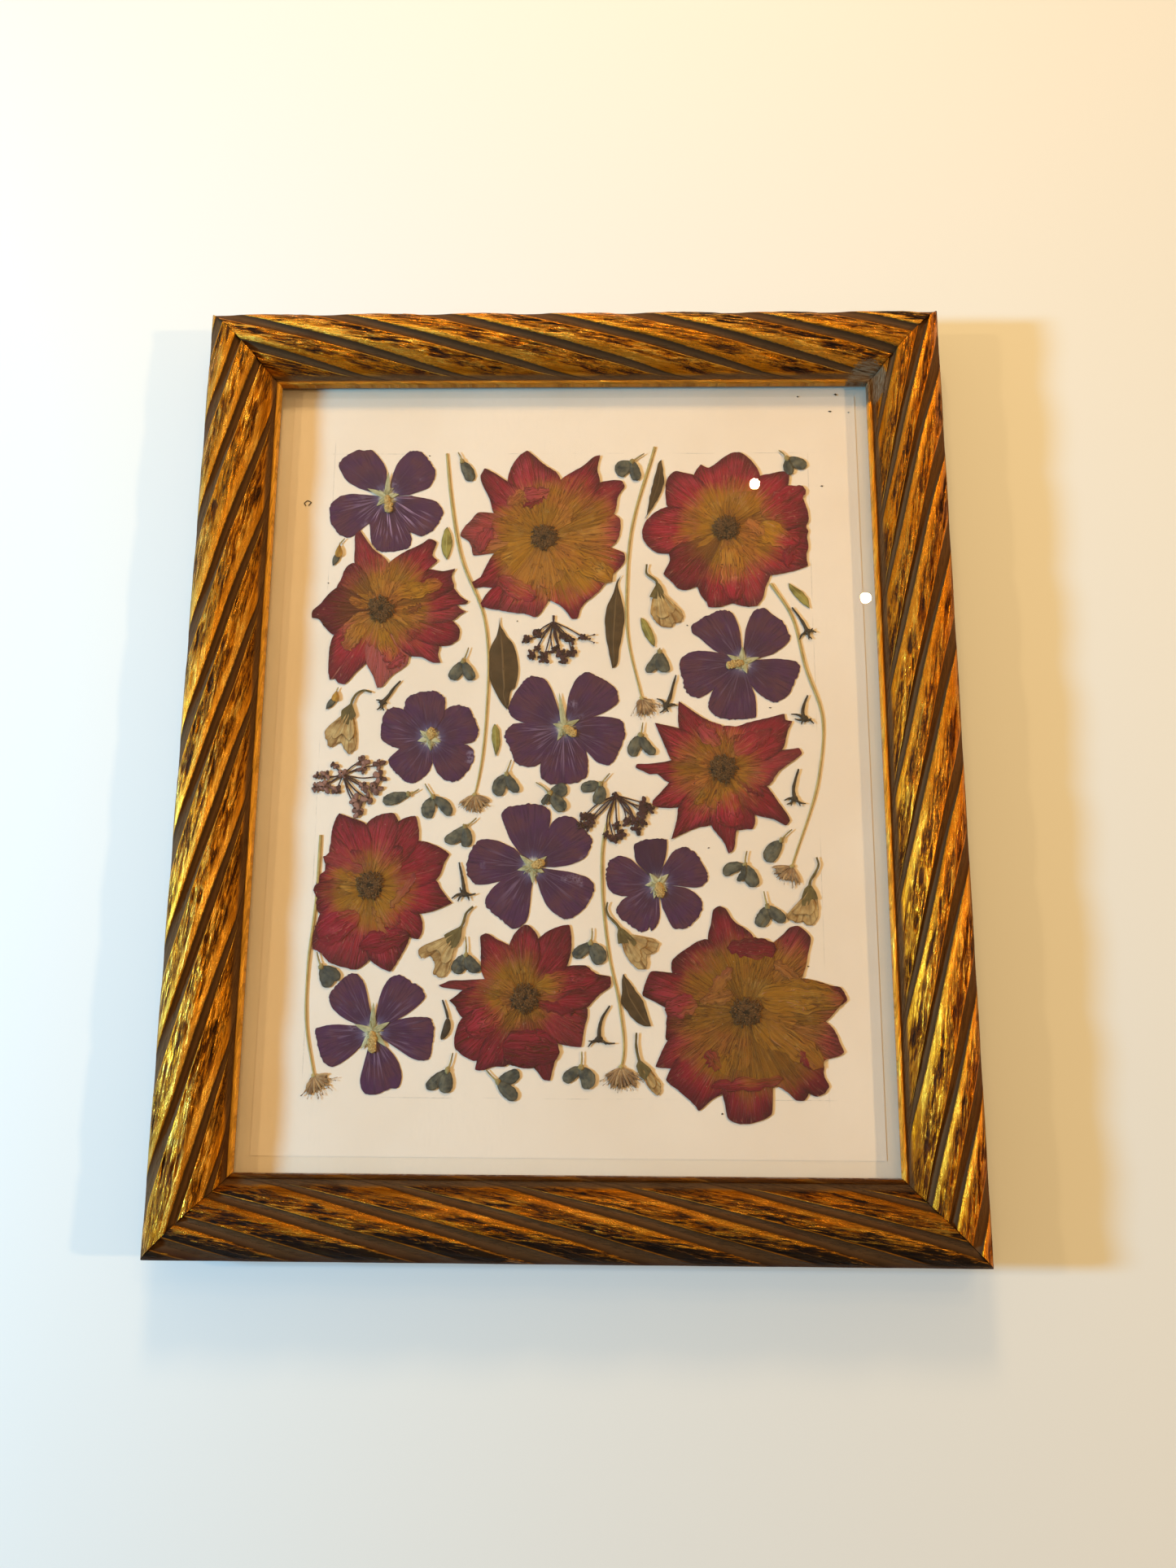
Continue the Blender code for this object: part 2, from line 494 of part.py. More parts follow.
def build_hanger(collection, cutters):
    """A strip that stands off the board between its feet, with a toothed lower edge."""
    top = BOARD_BOTTOM - FIT_GAP
    line = [(-HANGER_FOOT, top), (-HANGER_BEND[0], top), (-HANGER_BEND[1], top - HANGER_RISE),
            (HANGER_BEND[1], top - HANGER_RISE), (HANGER_BEND[0], top), (HANGER_FOOT, top)]
    bm = bmesh.new()
    near = [bm.verts.new(Vector((x, -0.5 * HANGER_WIDTH, z)) * MM) for x, z in line]
    far = [bm.verts.new(Vector((x, 0.5 * HANGER_WIDTH, z)) * MM) for x, z in line]
    for i in range(len(line) - 1):
        bm.faces.new((near[i], near[i + 1], far[i + 1], far[i]))
    hanger = add_object("hanger", mesh_from("hanger", bm), collection, "brass")
    hanger.location = (0.0, HANGER_Y * MM, 0.0)
    solid = hanger.modifiers.new("thickness", "SOLIDIFY")
    solid.thickness = HANGER_THICKNESS * MM
    solid.offset = -1.0
    cut(hanger, teeth_cutter(cutters))
    for side in (-1, 1):
        cut(hanger, nail_hole("hanger_hole", side, cutters))


def teeth_cutter(cutters):
    """Square bars set on edge, which leave pointed teeth between them."""
    bm = bmesh.new()
    for i in range(TOOTH_COUNT):
        x = (i - 0.5 * (TOOTH_COUNT - 1)) * TOOTH_PITCH
        place = Matrix.Translation(Vector((x, HANGER_Y - 0.5 * HANGER_WIDTH, 0.0)) * MM)
        bmesh.ops.create_cube(bm, size=TOOTH_BAR * MM, matrix=place @ Matrix.Rotation(0.25 * math.pi, 4, "Z")
                              @ Matrix.Diagonal((1.0, 1.0, BOARD_BOTTOM, 1.0)))
    return add_object("teeth", mesh_from("teeth", bm), cutters)


def build_nails(collection):
    """Nails with round heads, turned from a profile: head below the foot, shank in the board."""
    foot_bottom = BOARD_BOTTOM - FIT_GAP - HANGER_THICKNESS
    head_top = foot_bottom - FIT_GAP
    shank_top = BOARD_BOTTOM + NAIL_IN_BOARD
    profile = [(0.0, shank_top), (NAIL_SHANK_RADIUS, shank_top - NAIL_TIP), (NAIL_SHANK_RADIUS, head_top),
               (NAIL_HEAD_RADIUS, head_top), (NAIL_HEAD_RADIUS, head_top - NAIL_HEAD_HEIGHT),
               (0.0, head_top - NAIL_HEAD_HEIGHT)]
    for name, side in (("nail_left", -1), ("nail_right", 1)):
        bm = bmesh.new()
        points = [bm.verts.new(Vector((x, 0.0, z)) * MM) for x, z in profile]
        for a, b in zip(points[:-1], points[1:]):
            bm.edges.new((a, b))
        nail = add_object(name, mesh_from(name, bm), collection, "steel")
        nail.location = Vector((side * NAIL_X, HANGER_Y, 0.0)) * MM
        turn = nail.modifiers.new("turn", "SCREW")
        turn.steps = turn.render_steps = TURN_STEPS
        turn.use_merge_vertices = True
        turn.merge_threshold = 0.00001


# Pressed pieces

def pressed(name, outline, centre, layer, collection, material_name):
    flat_piece(name, outline, centre, LAYER_BOTTOMS[layer], PRESSED_THICKNESS, collection, material_name)


def about(centre, points):
    return [(centre[0] + x, centre[1] + y) for x, y in points]


def stalked_outline(route, body, width):
    """The outline of a stalk with a body at its end."""
    left, right = ribbon_sides(route, width)
    return left[:-1] + list(body) + right[1:]


def umbel_outline(rays):
    """Thin rays from a hub, each ending in a six-sided cluster."""
    outline = []
    for place, radius in rays:
        direction = Vector(place).normalized()
        left, right = ribbon_sides((direction * HUB_RADIUS, Vector(place) - direction * radius * RAY_END), RAY_WIDTH)
        start = math.atan2(-direction.y, -direction.x)
        ring = [(place[0] + radius * math.cos(start - turn), place[1] + radius * math.sin(start - turn))
                for turn in (math.radians(a) for a in CLUSTER_ANGLES)]
        outline += left + ring + right
    return outline


def build_pressed(collection):
    for name, (centre, outline) in ROSES.items():
        pressed(name, outline, centre, 2, collection, "rose_petal")
    for name, (centre, outline) in MALLOWS.items():
        pressed(name, outline, centre, 1, collection, "purple_petal")
    for name, (centre, outline) in LEAVES.items():
        pressed(name, outline, centre, 1, collection, "dry_leaf")
    for name, (route, centre, head) in DAISIES.items():
        outline = stalked_outline(route, about(centre, head), STEM_WIDTH)
        pressed(name, outline, (0, 0), 0, collection, "dry_stem")
    for name, (hub, rays) in UMBELS.items():
        pressed(name, umbel_outline(rays), hub, 2, collection, "dark_floret")
    for name, (centre, route, body) in TRUMPETS.items():
        pressed(name, stalked_outline(route, body, STEM_WIDTH), centre, 1, collection, "cream_petal")


def main():
    clear_scene()
    parts = new_collection("pressed_flower_frame")
    cutters = new_collection("cutters")
    build_rails(parts, cutters)
    build_stack(parts, cutters)
    build_points(parts)
    build_hanger(parts, cutters)
    build_nails(parts)
    build_pressed(parts)


main()
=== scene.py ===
"""Pressed flower frame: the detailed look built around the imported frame.

Carved and gilded rails, glass, paper and pressed flowers, each made by its own operator. Shapes are
worked out in millimetres with whole numpy arrays and written to the meshes in metres.
"""
import math

import bpy
import numpy as np
from mathutils import Euler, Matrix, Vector


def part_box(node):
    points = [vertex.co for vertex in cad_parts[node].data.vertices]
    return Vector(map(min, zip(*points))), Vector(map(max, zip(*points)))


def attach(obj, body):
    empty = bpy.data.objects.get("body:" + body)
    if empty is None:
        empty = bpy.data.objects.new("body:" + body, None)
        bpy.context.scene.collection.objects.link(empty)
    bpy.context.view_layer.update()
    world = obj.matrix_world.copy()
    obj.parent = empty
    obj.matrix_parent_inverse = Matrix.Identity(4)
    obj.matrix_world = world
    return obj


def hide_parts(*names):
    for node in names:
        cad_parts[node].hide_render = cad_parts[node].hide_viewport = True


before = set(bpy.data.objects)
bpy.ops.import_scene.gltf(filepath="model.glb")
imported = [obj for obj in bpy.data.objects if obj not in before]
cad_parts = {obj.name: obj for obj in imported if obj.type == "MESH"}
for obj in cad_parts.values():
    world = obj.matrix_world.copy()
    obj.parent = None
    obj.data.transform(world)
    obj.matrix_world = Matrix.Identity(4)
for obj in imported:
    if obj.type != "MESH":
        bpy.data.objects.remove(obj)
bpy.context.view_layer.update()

bl_info = {
    "name": "Pressed flower frame",
    "version": (1, 0, 0),
    "blender": (4, 5, 0),
    "location": "View3D > Sidebar > Flower frame",
    "description": "Builds a carved gilt frame with pressed flowers under glass",
    "category": "Object",
}

MM = 0.001
# Distance to the rim, in millimetres, of points on shapes that have none
NO_RIM = 9.0
# Unit squares after which smooth noise repeats, and the shortest length that is divided by
NOISE_TILE = 97
TINY = 1e-6


def top_of(node):
    """Height of a CAD node's upper side, in millimetres."""
    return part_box(node)[1].z / MM


def bottom_of(node):
    """Height of a CAD node's lower side, in millimetres."""
    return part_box(node)[0].z / MM


SHEET_TOP = top_of("flower_sheet")
PAPER_JOIN = SHEET_TOP - 0.2
GLASS_UNDER = bottom_of("glass_pane")
GLASS_TOP = top_of("glass_pane")
CREST = top_of("rail_top")


# ---- Arrays: noise, outlines and closed shells ----

def smooth_noise(x, y, seed):
    """Random heights on a lattice of unit squares, blended between the four corners of each square
    with the curve 3t^2 - 2t^3. Gives -1 to 1."""
    table = np.random.default_rng(seed).uniform(-1.0, 1.0, (NOISE_TILE, NOISE_TILE))
    column, row = np.floor(x).astype(int), np.floor(y).astype(int)
    fx, fy = x - column, y - row
    fx, fy = fx * fx * (3 - 2 * fx), fy * fy * (3 - 2 * fy)

    def corner(i, j):
        return table[(column + i) % NOISE_TILE, (row + j) % NOISE_TILE]

    near = corner(0, 0) * (1 - fx) + corner(1, 0) * fx
    far = corner(0, 1) * (1 - fx) + corner(1, 1) * fx
    return near * (1 - fy) + far * fy


def layered_noise(x, y, seed, layers=3):
    """Sum of smooth noise, each layer at twice the frequency and half the height of the one before."""
    total = np.zeros(np.broadcast(x, y).shape)
    for layer in range(layers):
        total = total + smooth_noise(x * 2 ** layer, y * 2 ** layer, seed + 31 * layer) / 2 ** layer
    return total


def step_up(value, low, high):
    """0 below low, 1 above high and 3t^2 - 2t^3 between them."""
    t = np.clip((value - low) / (high - low), 0.0, 1.0)
    return t * t * (3 - 2 * t)


def smooth_line(points, count):
    """Points at equal steps along a curve through the given points.

    Between two points the curve is a cubic whose slope at each point is the mean of the chords
    beside it, weighted by the other chord's length, and shrinks to nothing where the line turns
    back on itself, so a pointed tip stays pointed."""
    p = np.asarray(points, float)
    chord = np.diff(p, axis=0)
    length = np.maximum(np.linalg.norm(chord, axis=1), TINY)
    place = np.concatenate([[0.0], np.cumsum(length)])
    slope = chord / length[:, None]
    tangent = np.empty_like(p)
    tangent[0], tangent[-1] = slope[0], slope[-1]
    before, after = length[:-1, None], length[1:, None]
    straight = np.clip(0.35 + 0.65 * np.sum(slope[:-1] * slope[1:], axis=1), 0.0, 1.0)[:, None]
    tangent[1:-1] = straight * (slope[:-1] * after + slope[1:] * before) / (before + after)
    t = np.linspace(0.0, place[-1], count)
    i = np.clip(np.searchsorted(place, t, side="right") - 1, 0, len(length) - 1)
    h = length[i][:, None]
    u = ((t - place[i]) / length[i])[:, None]
    return ((2 * u**3 - 3 * u**2 + 1) * p[i] + (u**3 - 2 * u**2 + u) * h * tangent[i]
            + (3 * u**2 - 2 * u**3) * p[i + 1] + (u**3 - u**2) * h * tangent[i + 1])


def turned(points, degrees):
    """Points turned about the origin, counter-clockwise seen from above."""
    c, s = math.cos(math.radians(degrees)), math.sin(math.radians(degrees))
    p = np.asarray(points, float)
    return np.stack([p[..., 0] * c - p[..., 1] * s, p[..., 0] * s + p[..., 1] * c], axis=-1)


def grid_faces(rows, columns, wrap=False):
    """Quads of a grid of points stored row by row. With wrap, the last column joins the first."""
    i, j = np.meshgrid(np.arange(rows - 1), np.arange(columns if wrap else columns - 1), indexing="ij")
    k = (j + 1) % columns
    quads = np.stack([i * columns + j, i * columns + k, (i + 1) * columns + k, (i + 1) * columns + j], -1)
    return quads.reshape(-1, 4)


def as_shell(co, faces, flat, values, finish):
    """A shell: its points, its polygons kind by kind, which kinds are flat, the values kept at its
    points and the number of its finish."""
    co = co.reshape(-1, 3)
    values = {key: np.reshape(value, (len(co), -1)) for key, value in values.items()}
    return {"co": co, "faces": faces, "flat": flat, "values": values, "finish": finish}


def thin_shell(top, thickness, values, finish=0):
    """A closed thin sheet. Its upper side is the given grid of points, its lower side the same grid
    lower by the thickness, and a strip of quads around the rim joins them."""
    rows, columns = top.shape[:2]
    count = rows * columns
    upper = top.reshape(-1, 3)
    lower = upper - [0.0, 0.0, thickness]
    index = np.arange(count).reshape(rows, columns)
    rim = np.concatenate([index[0, :-1], index[:-1, -1], index[-1, :0:-1], index[:0:-1, 0]])
    ahead = np.roll(rim, -1)
    face = grid_faces(rows, columns)
    p = upper[face]
    facing = np.cross(p[:, 1] - p[:, 0], p[:, 3] - p[:, 0])[:, 2].sum()
    sides = np.stack([rim, rim + count, ahead + count, ahead], -1)
    if facing < 0:
        face, sides = face[:, ::-1], sides[:, ::-1]
    both = {name: np.concatenate([v.reshape(count, -1)] * 2) for name, v in values.items()}
    return as_shell(np.concatenate([upper, lower]), [face, face[:, ::-1] + count, sides],
                    [False, True, True], both, finish)


def tubes(paths, radii, tones, sides, flat, finish):
    """Closed tubes along paths, an array (tube, point, 3), with radii (tube, point).

    Each ring is a circle across the path, squeezed in height by the share flat. The two ends are
    closed by a face with as many corners as the ring."""
    number, steps = paths.shape[:2]
    ahead = np.gradient(paths, axis=1)
    ahead /= np.maximum(np.linalg.norm(ahead, axis=2, keepdims=True), 1e-9)
    side = np.cross([0.0, 0.0, 1.0], ahead) + [TINY, 0.0, 0.0]
    side /= np.linalg.norm(side, axis=2, keepdims=True)
    up = np.cross(ahead, side)
    angle = np.linspace(0.0, 2 * math.pi, sides, endpoint=False)
    ring = (np.cos(angle)[:, None] * side[:, :, None, :]
            + flat * np.sin(angle)[:, None] * up[:, :, None, :])
    co = paths[:, :, None, :] + ring * radii[:, :, None, None]
    start = (np.arange(number) * steps * sides)[:, None]
    quads = (grid_faces(steps, sides, wrap=True)[None] + start[:, :, None]).reshape(-1, 4)
    first = np.arange(sides)[None, ::-1] + start
    last = np.arange(sides)[None] + (steps - 1) * sides + start
    shape = (number, steps, sides)
    along = np.broadcast_to(np.linspace(0, 1, steps)[None, :, None], shape)
    around = np.broadcast_to(np.sin(angle) * 0.5 + 0.5, shape)
    tone = np.broadcast_to(np.asarray(tones)[:, None, None], shape)
    values = {"petal": np.stack([around, along, tone], -1), "tone": tone, "margin": np.full(shape, NO_RIM)}
    return as_shell(co, [quads, first, last], [False] * 3, values, finish)


def lump(centre, radii, seed, rough=0.25, *, rows, columns, tone=0.0, finish=0):
    """A closed knobbly lump: an ellipsoid whose radius varies with smooth noise over its surface."""
    polar = np.linspace(0.02, math.pi - 0.02, rows)[:, None]
    turn = np.linspace(0, 2 * math.pi, columns, endpoint=False)[None]
    x, y, z = np.sin(polar) * np.cos(turn), np.sin(polar) * np.sin(turn), np.cos(polar) + 0 * turn
    noise = smooth_noise(3 * x + 7, 3 * y + 3 * z + 9, seed)
    noise = noise + 0.6 * smooth_noise(9 * x + 5, 9 * y + 4, seed + 1)
    co = np.stack([x, y, z], -1) * (1 + rough * noise[..., None]) * radii + centre
    first = np.arange(columns)[None]
    faces = [grid_faces(rows, columns, wrap=True)[:, ::-1], first, (first + (rows - 1) * columns)[:, ::-1]]
    values = {"petal": np.stack([x, y, noise], -1), "tone": np.full(x.shape, float(tone)),
              "margin": np.full(x.shape, NO_RIM)}
    return as_shell(co, faces, [False] * 3, values, finish)


def fan(outline, root_radius, columns, low, high, ragged, fold, tone, seed, root=(0.0, 0.0), rows=14,
        droop=0.0, thickness=0.18, finish=0, frill=3.0, tip_rise=0.0):
    """A petal or leaf as rays from a small arc at its root to its outline.

    A point is root + (edge - root) * r, with r from 0 to 1. Its height goes from low at the
    outline's first end to high at its last, with folds that run out along the rays and a rim that
    droops as r^4. The outline gets small teeth of the height ragged."""
    edge = smooth_line(outline, columns)
    root = np.asarray(root, float)
    ray = edge - root
    reach = np.maximum(np.linalg.norm(ray, axis=1), TINY)
    across = np.linspace(0, 1, columns)
    calm = np.clip(6 * np.minimum(across, 1 - across), 0, 1)
    run = np.concatenate([[0], np.cumsum(np.linalg.norm(np.diff(edge, axis=0), axis=1))])
    teeth = smooth_noise(run * frill / 3, run * 0 + 3.5, seed)
    teeth = teeth + 0.6 * smooth_noise(run * frill, run * 0 + 8.5, seed)
    edge = edge + ray / reach[:, None] * (ragged * calm * teeth)[:, None]
    near = root + ray / reach[:, None] * root_radius
    r = np.linspace(0, 1, rows)[:, None]
    xy = near[None] * (1 - r[..., None]) + edge[None] * r[..., None]
    wave = layered_noise(across[None] * 9 + 0 * r, r * 1.6 + 0 * across[None], seed + 5)
    z = low + (high - low) * across[None] + fold * wave * np.sqrt(r) - droop * r**4 + tip_rise * r
    flank = np.minimum(across, 1 - across)[None] * run[-1] * r
    across_run = across[None] * run[-1] / 10 + 0 * r
    values = {"petal": np.stack([across_run, r + 0 * across[None], np.linalg.norm(xy, axis=2)], -1),
              "tone": np.full(across_run.shape, float(tone)),
              "margin": np.minimum((1 - r) * reach[None], flank + 0.4)}
    return thin_shell(np.dstack([xy, z]), thickness, values, finish)


def moved(shells, centre):
    """The shells, shifted over the sheet."""
    for shell in shells:
        shell["co"][:, :2] += centre
    return shells


def new_object(name, data):
    """An object in the scene for a mesh, a light or a camera."""
    made = bpy.data.objects.new(name, data)
    bpy.context.scene.collection.objects.link(made)
    return made


def write_piece(name, shells, materials, node=None):
    """One object at the origin from a list of shells, in place of a CAD node if one is named. The
    values that shells carry become point attributes, and a shell that lacks one gets zeros."""
    counts = [len(shell["co"]) for shell in shells]
    starts = np.cumsum([0, *counts])
    kinds = [(polygons + start, flat, shell["finish"]) for shell, start in zip(shells, starts)
             for polygons, flat in zip(shell["faces"], shell["flat"])]
    corners = np.concatenate([polygons.ravel() for polygons, _, _ in kinds])
    totals, flats, finishes = (np.concatenate(column) for column in zip(*(
        [np.full(len(polygons), value) for value in (polygons.shape[1], flat, finish)]
        for polygons, flat, finish in kinds)))
    mesh = bpy.data.meshes.new(name)

    def fill(items, field, data, kind):
        items.foreach_set(field, data.astype(kind).ravel())

    mesh.vertices.add(sum(counts))
    fill(mesh.vertices, "co", np.concatenate([shell["co"] for shell in shells]) * MM, np.float32)
    mesh.loops.add(len(corners))
    fill(mesh.loops, "vertex_index", corners, np.int32)
    mesh.polygons.add(len(totals))
    fill(mesh.polygons, "loop_start", np.cumsum(totals) - totals, np.int32)
    fill(mesh.polygons, "loop_total", totals, np.int32)
    mesh.update(calc_edges=True)
    fill(mesh.polygons, "use_smooth", ~flats, bool)
    fill(mesh.polygons, "material_index", finishes, np.int32)
    # An edge is sharp where a flat face meets it, so that rims don't bend the shading of the top
    edge_of_corner = np.empty(len(corners), np.int32)
    mesh.loops.foreach_get("edge_index", edge_of_corner)
    fill(mesh.edges, "use_edge_sharp", np.bincount(edge_of_corner, np.repeat(flats, totals)) > 0, bool)
    widths = {key: value.shape[1] for shell in shells for key, value in shell["values"].items()}
    for key, width in widths.items():
        values = [shell["values"].get(key, np.zeros((n, width))) for shell, n in zip(shells, counts)]
        kind, field = ("FLOAT_VECTOR", "vector") if width == 3 else ("FLOAT", "value")
        fill(mesh.attributes.new(key, kind, "POINT").data, field, np.concatenate(values), np.float32)
    for material in materials:
        mesh.materials.append(material)
    if mesh.validate():
        raise RuntimeError(f"{name}: the mesh had faults")
    piece = new_object(name, mesh)
    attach(piece, "root")
    if node:
        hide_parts(node)


# ---- Shader maths ----

def maths_method(operation, reflected=False):
    """What an operator does on a Level, or what its reflected form does."""
    def method(self, other):
        return self.maths(operation, *((other, self) if reflected else (self, other)))
    return method


class Level:
    """A socket in a material that carries a number, so that shader maths reads as an expression."""
    __add__, __radd__ = maths_method("ADD"), maths_method("ADD", True)
    __sub__, __rsub__ = maths_method("SUBTRACT"), maths_method("SUBTRACT", True)
    __mul__, __rmul__ = maths_method("MULTIPLY"), maths_method("MULTIPLY", True)
    __truediv__, __rtruediv__ = maths_method("DIVIDE"), maths_method("DIVIDE", True)

    def __init__(self, finish, socket):
        self.finish, self.socket = finish, socket

    def maths(self, operation, *values, clamp=False):
        """A Math node on the given values, which are levels or numbers."""
        settings = {"operation": operation, "use_clamp": clamp}
        return self.finish.add("ShaderNodeMath", settings, dict(enumerate(values)))

    def __neg__(self):
        return self.maths("MULTIPLY", self, -1.0)

    def __abs__(self):
        return self.maths("ABSOLUTE", self)

    def clip(self):
        """Kept between 0 and 1."""
        return self.maths("ADD", self, 0.0, clamp=True)

    def high(self, other):
        """The higher of the two."""
        return self.maths("MAXIMUM", self, other)

    def rise(self, start, end):
        """A smooth step from 0 at the start to 1 at the end, which falls where the end is lower."""
        ends = (start, end, 0.0, 1.0) if start < end else (end, start, 1.0, 0.0)
        settings = {"interpolation_type": "SMOOTHSTEP", "clamp": True}
        return self.finish.add("ShaderNodeMapRange", settings, dict(enumerate((self, *ends))))

    def band(self, middle, width):
        """1 at the middle, falling smoothly to 0 at a width to each side."""
        return abs(self - middle).rise(width, 0.0)


class Finish:
    """A material being made, with its own Principled shader."""

    def __init__(self, name, roughness, metallic=0.0, specular=0.5):
        self.material = bpy.data.materials.new(name)
        self.material.use_nodes = True
        self.tree = self.material.node_tree
        self.shader = self.tree.nodes["Principled BSDF"]
        self.feed("Roughness", roughness)
        self.feed("Metallic", metallic)
        self.feed("Specular IOR Level", specular)

    def add(self, kind, settings=None, values=None, output=0):
        """Any node: its type, its settings, which are set first, and its sockets' values or links."""
        node = self.tree.nodes.new(kind)
        for key, value in (settings or {}).items():
            setattr(node, key, value)
        for key, value in (values or {}).items():
            self.put(value, node.inputs[key])
        return Level(self, node.outputs[output])

    def put(self, value, socket):
        """Links a level or sets a plain value on a socket."""
        if isinstance(value, Level):
            self.tree.links.new(value.socket, socket)
        else:
            socket.default_value = (*value, 1.0) if socket.type == "RGBA" else value

    def feed(self, socket_name, value):
        """Links or sets a socket of the shader."""
        self.put(value, self.shader.inputs[socket_name])

    def done(self, colour, roughness, height, strength, distance):
        """The material, once its shader has its colour, its roughness and its relief, which comes
        from a height of about 0 to 1 over a distance in metres."""
        values = {"Strength": strength, "Distance": distance, "Height": height}
        bump = self.add("ShaderNodeBump", None, values)
        for socket_name, value in (("Base Color", colour), ("Roughness", roughness), ("Normal", bump)):
            self.feed(socket_name, value)
        return self.material

    def place(self):
        """Object coordinates."""
        return self.add("ShaderNodeTexCoord", output="Object")

    def stored(self, name):
        """The three numbers of a vector kept at the mesh's points."""
        return self.parts(self.add("ShaderNodeAttribute", {"attribute_name": name}, output="Vector"))

    def numbers(self, *names):
        """Numbers kept at the mesh's points."""
        return [self.add("ShaderNodeAttribute", {"attribute_name": name}, output="Fac") for name in names]

    def parts(self, vector):
        """The three numbers of a vector."""
        node = self.add("ShaderNodeSeparateXYZ", values={0: vector}).socket.node
        return [Level(self, output) for output in node.outputs]

    def stretch(self, vector, *by):
        """A vector times three numbers, part by part."""
        return self.add("ShaderNodeVectorMath", {"operation": "MULTIPLY"}, {0: vector, 1: by})

    def noise(self, vector, scale, detail=3.0, rough=0.55, warp=0.0):
        """Noise of 0 to 1, near one half for the most part."""
        return self.add("ShaderNodeTexNoise", None, {
            "Vector": vector, "Scale": scale, "Detail": detail, "Roughness": rough, "Distortion": warp})

    def streaks(self, x, y, z, detail=3.0, rough=0.55, warp=0.0):
        """Noise over three levels or numbers, long in the direction where they change slowly."""
        place = self.add("ShaderNodeCombineXYZ", None, {0: x, 1: y, 2: z})
        return self.noise(place, 1.0, detail, rough, warp)

    def spots(self, place, scale, edge, core, field, low, high):
        """Round spots at random places, in the fields where a coarser noise is high."""
        cells = self.add("ShaderNodeTexVoronoi", None, {"Vector": place, "Scale": scale})
        return cells.rise(edge, core) * self.noise(place, field, 1.0).rise(low, high)

    def mix(self, a, b, factor, blend="MIX"):
        """Colour a where the factor is 0 and colour b, or a blended with b, where it is 1."""
        settings = {"data_type": "RGBA", "blend_type": blend}
        return self.add("ShaderNodeMix", settings, {0: factor, 6: a, 7: b}, output=2)

    def coats(self, colour, *coats):
        """A colour under coats laid on one after another, each as its colour and its cover."""
        for coat, cover in coats:
            colour = self.mix(colour, coat, cover)
        return colour


def linear(red, green, blue):
    """A colour of 0 to 255, as screens show it, in linear light."""
    share = np.array([red, green, blue]) / 255
    return tuple(np.where(share <= 0.04045, share / 12.92, ((share + 0.055) / 1.055) ** 2.4).tolist())


def shade(colour, by):
    """A colour times a number, or times one number for each of its parts."""
    return tuple(np.minimum(np.array(colour) * by, 1.0).tolist())


# ---- Settings a user may change ----

def colour_setting(name, description, red, green, blue):
    return bpy.props.FloatVectorProperty(name=name, description=description, default=linear(red, green, blue),
                                         subtype="COLOR", min=0.0, max=1.0)


class FlowerFrameGilding(bpy.types.PropertyGroup):
    gold: colour_setting("Gold", "Rubbed gold leaf on the carved lobes", 230, 150, 24)
    pale_gold: colour_setting("Pale gold", "Where the gold has the most light and wear", 255, 214, 104)
    bole: colour_setting("Bole", "Red-brown clay that shows through the gold", 84, 38, 12)
    bronze: colour_setting("Bronze", "Gold rubbed thin, low on the lobes", 146, 82, 14)
    black: colour_setting("Black", "Dark streaks in the grooves", 20, 13, 7)
    flute: colour_setting("Flute", "Matte wash in the carved flutes", 104, 72, 42)
    wood: colour_setting("Wood", "Bare wood on the back", 150, 112, 74)
    flute_half_width: bpy.props.FloatProperty(
        name="Flute half width", description="Along the rail, from a flute's middle to its edge",
        default=0.0080, unit="LENGTH", subtype="DISTANCE")
    grain_depth: bpy.props.FloatProperty(
        name="Grain depth", description="Depth of the wood-grain marks on the lobes",
        default=0.00055, unit="LENGTH", subtype="DISTANCE")


class FlowerFrameFlowers(bpy.types.PropertyGroup):
    ochre: colour_setting("Rose ochre", "Middle of a dried rose", 164, 106, 22)
    crimson: colour_setting("Rose crimson", "Outer half of a rose petal", 146, 18, 42)
    maroon: colour_setting("Rose maroon", "Rim of a rose petal", 80, 12, 32)
    violet: colour_setting("Mallow violet", "Mallow petal", 72, 36, 69)
    pale: colour_setting("Mallow base", "Pale root of a mallow petal", 214, 206, 190)
    leaf: colour_setting("Leaf", "Olive-brown leaf", 79, 57, 35)
    straw: colour_setting("Stem", "Straw-coloured stem", 190, 162, 104)
    slate: colour_setting("Floret", "Slate-blue floret", 66, 72, 74)
    umbel: colour_setting("Umbel", "Dark maroon clusters", 66, 38, 40)
    cream: colour_setting("Trumpet", "Cream tubular flower", 198, 166, 112)
    petal_thickness: bpy.props.FloatProperty(
        name="Petal thickness", description="Thickness of a dried petal",
        default=0.00012, unit="LENGTH", subtype="DISTANCE")


class FlowerFrameStudio(bpy.types.PropertyGroup):
    lens: bpy.props.FloatProperty(name="Lens", description="Focal length for a 36 mm sensor",
                                  default=24.96, unit="CAMERA")
    camera_place: bpy.props.FloatVectorProperty(
        name="Camera place", description="Where the camera stands", default=(0.01659, -0.09989, 0.47483),
        subtype="TRANSLATION", unit="LENGTH")
    camera_turn: bpy.props.FloatVectorProperty(
        name="Camera turn", description="Turn of the camera about X, Y and Z",
        default=tuple(math.radians(a) for a in (10.683, 0.992, 0.326)), subtype="EULER", unit="ROTATION")
    floor: colour_setting("Floor", "Plain pale floor", 238, 236, 232)
    warm: colour_setting("Warm light", "Lamps and the room's own light", 255, 217, 155)
    cool: colour_setting("Cool light", "Daylight from the left", 129, 206, 255)


SETTINGS = {
    "flower_frame_gilding": FlowerFrameGilding,
    "flower_frame_flowers": FlowerFrameFlowers,
    "flower_frame_studio": FlowerFrameStudio,
}


# ---- Rails ----

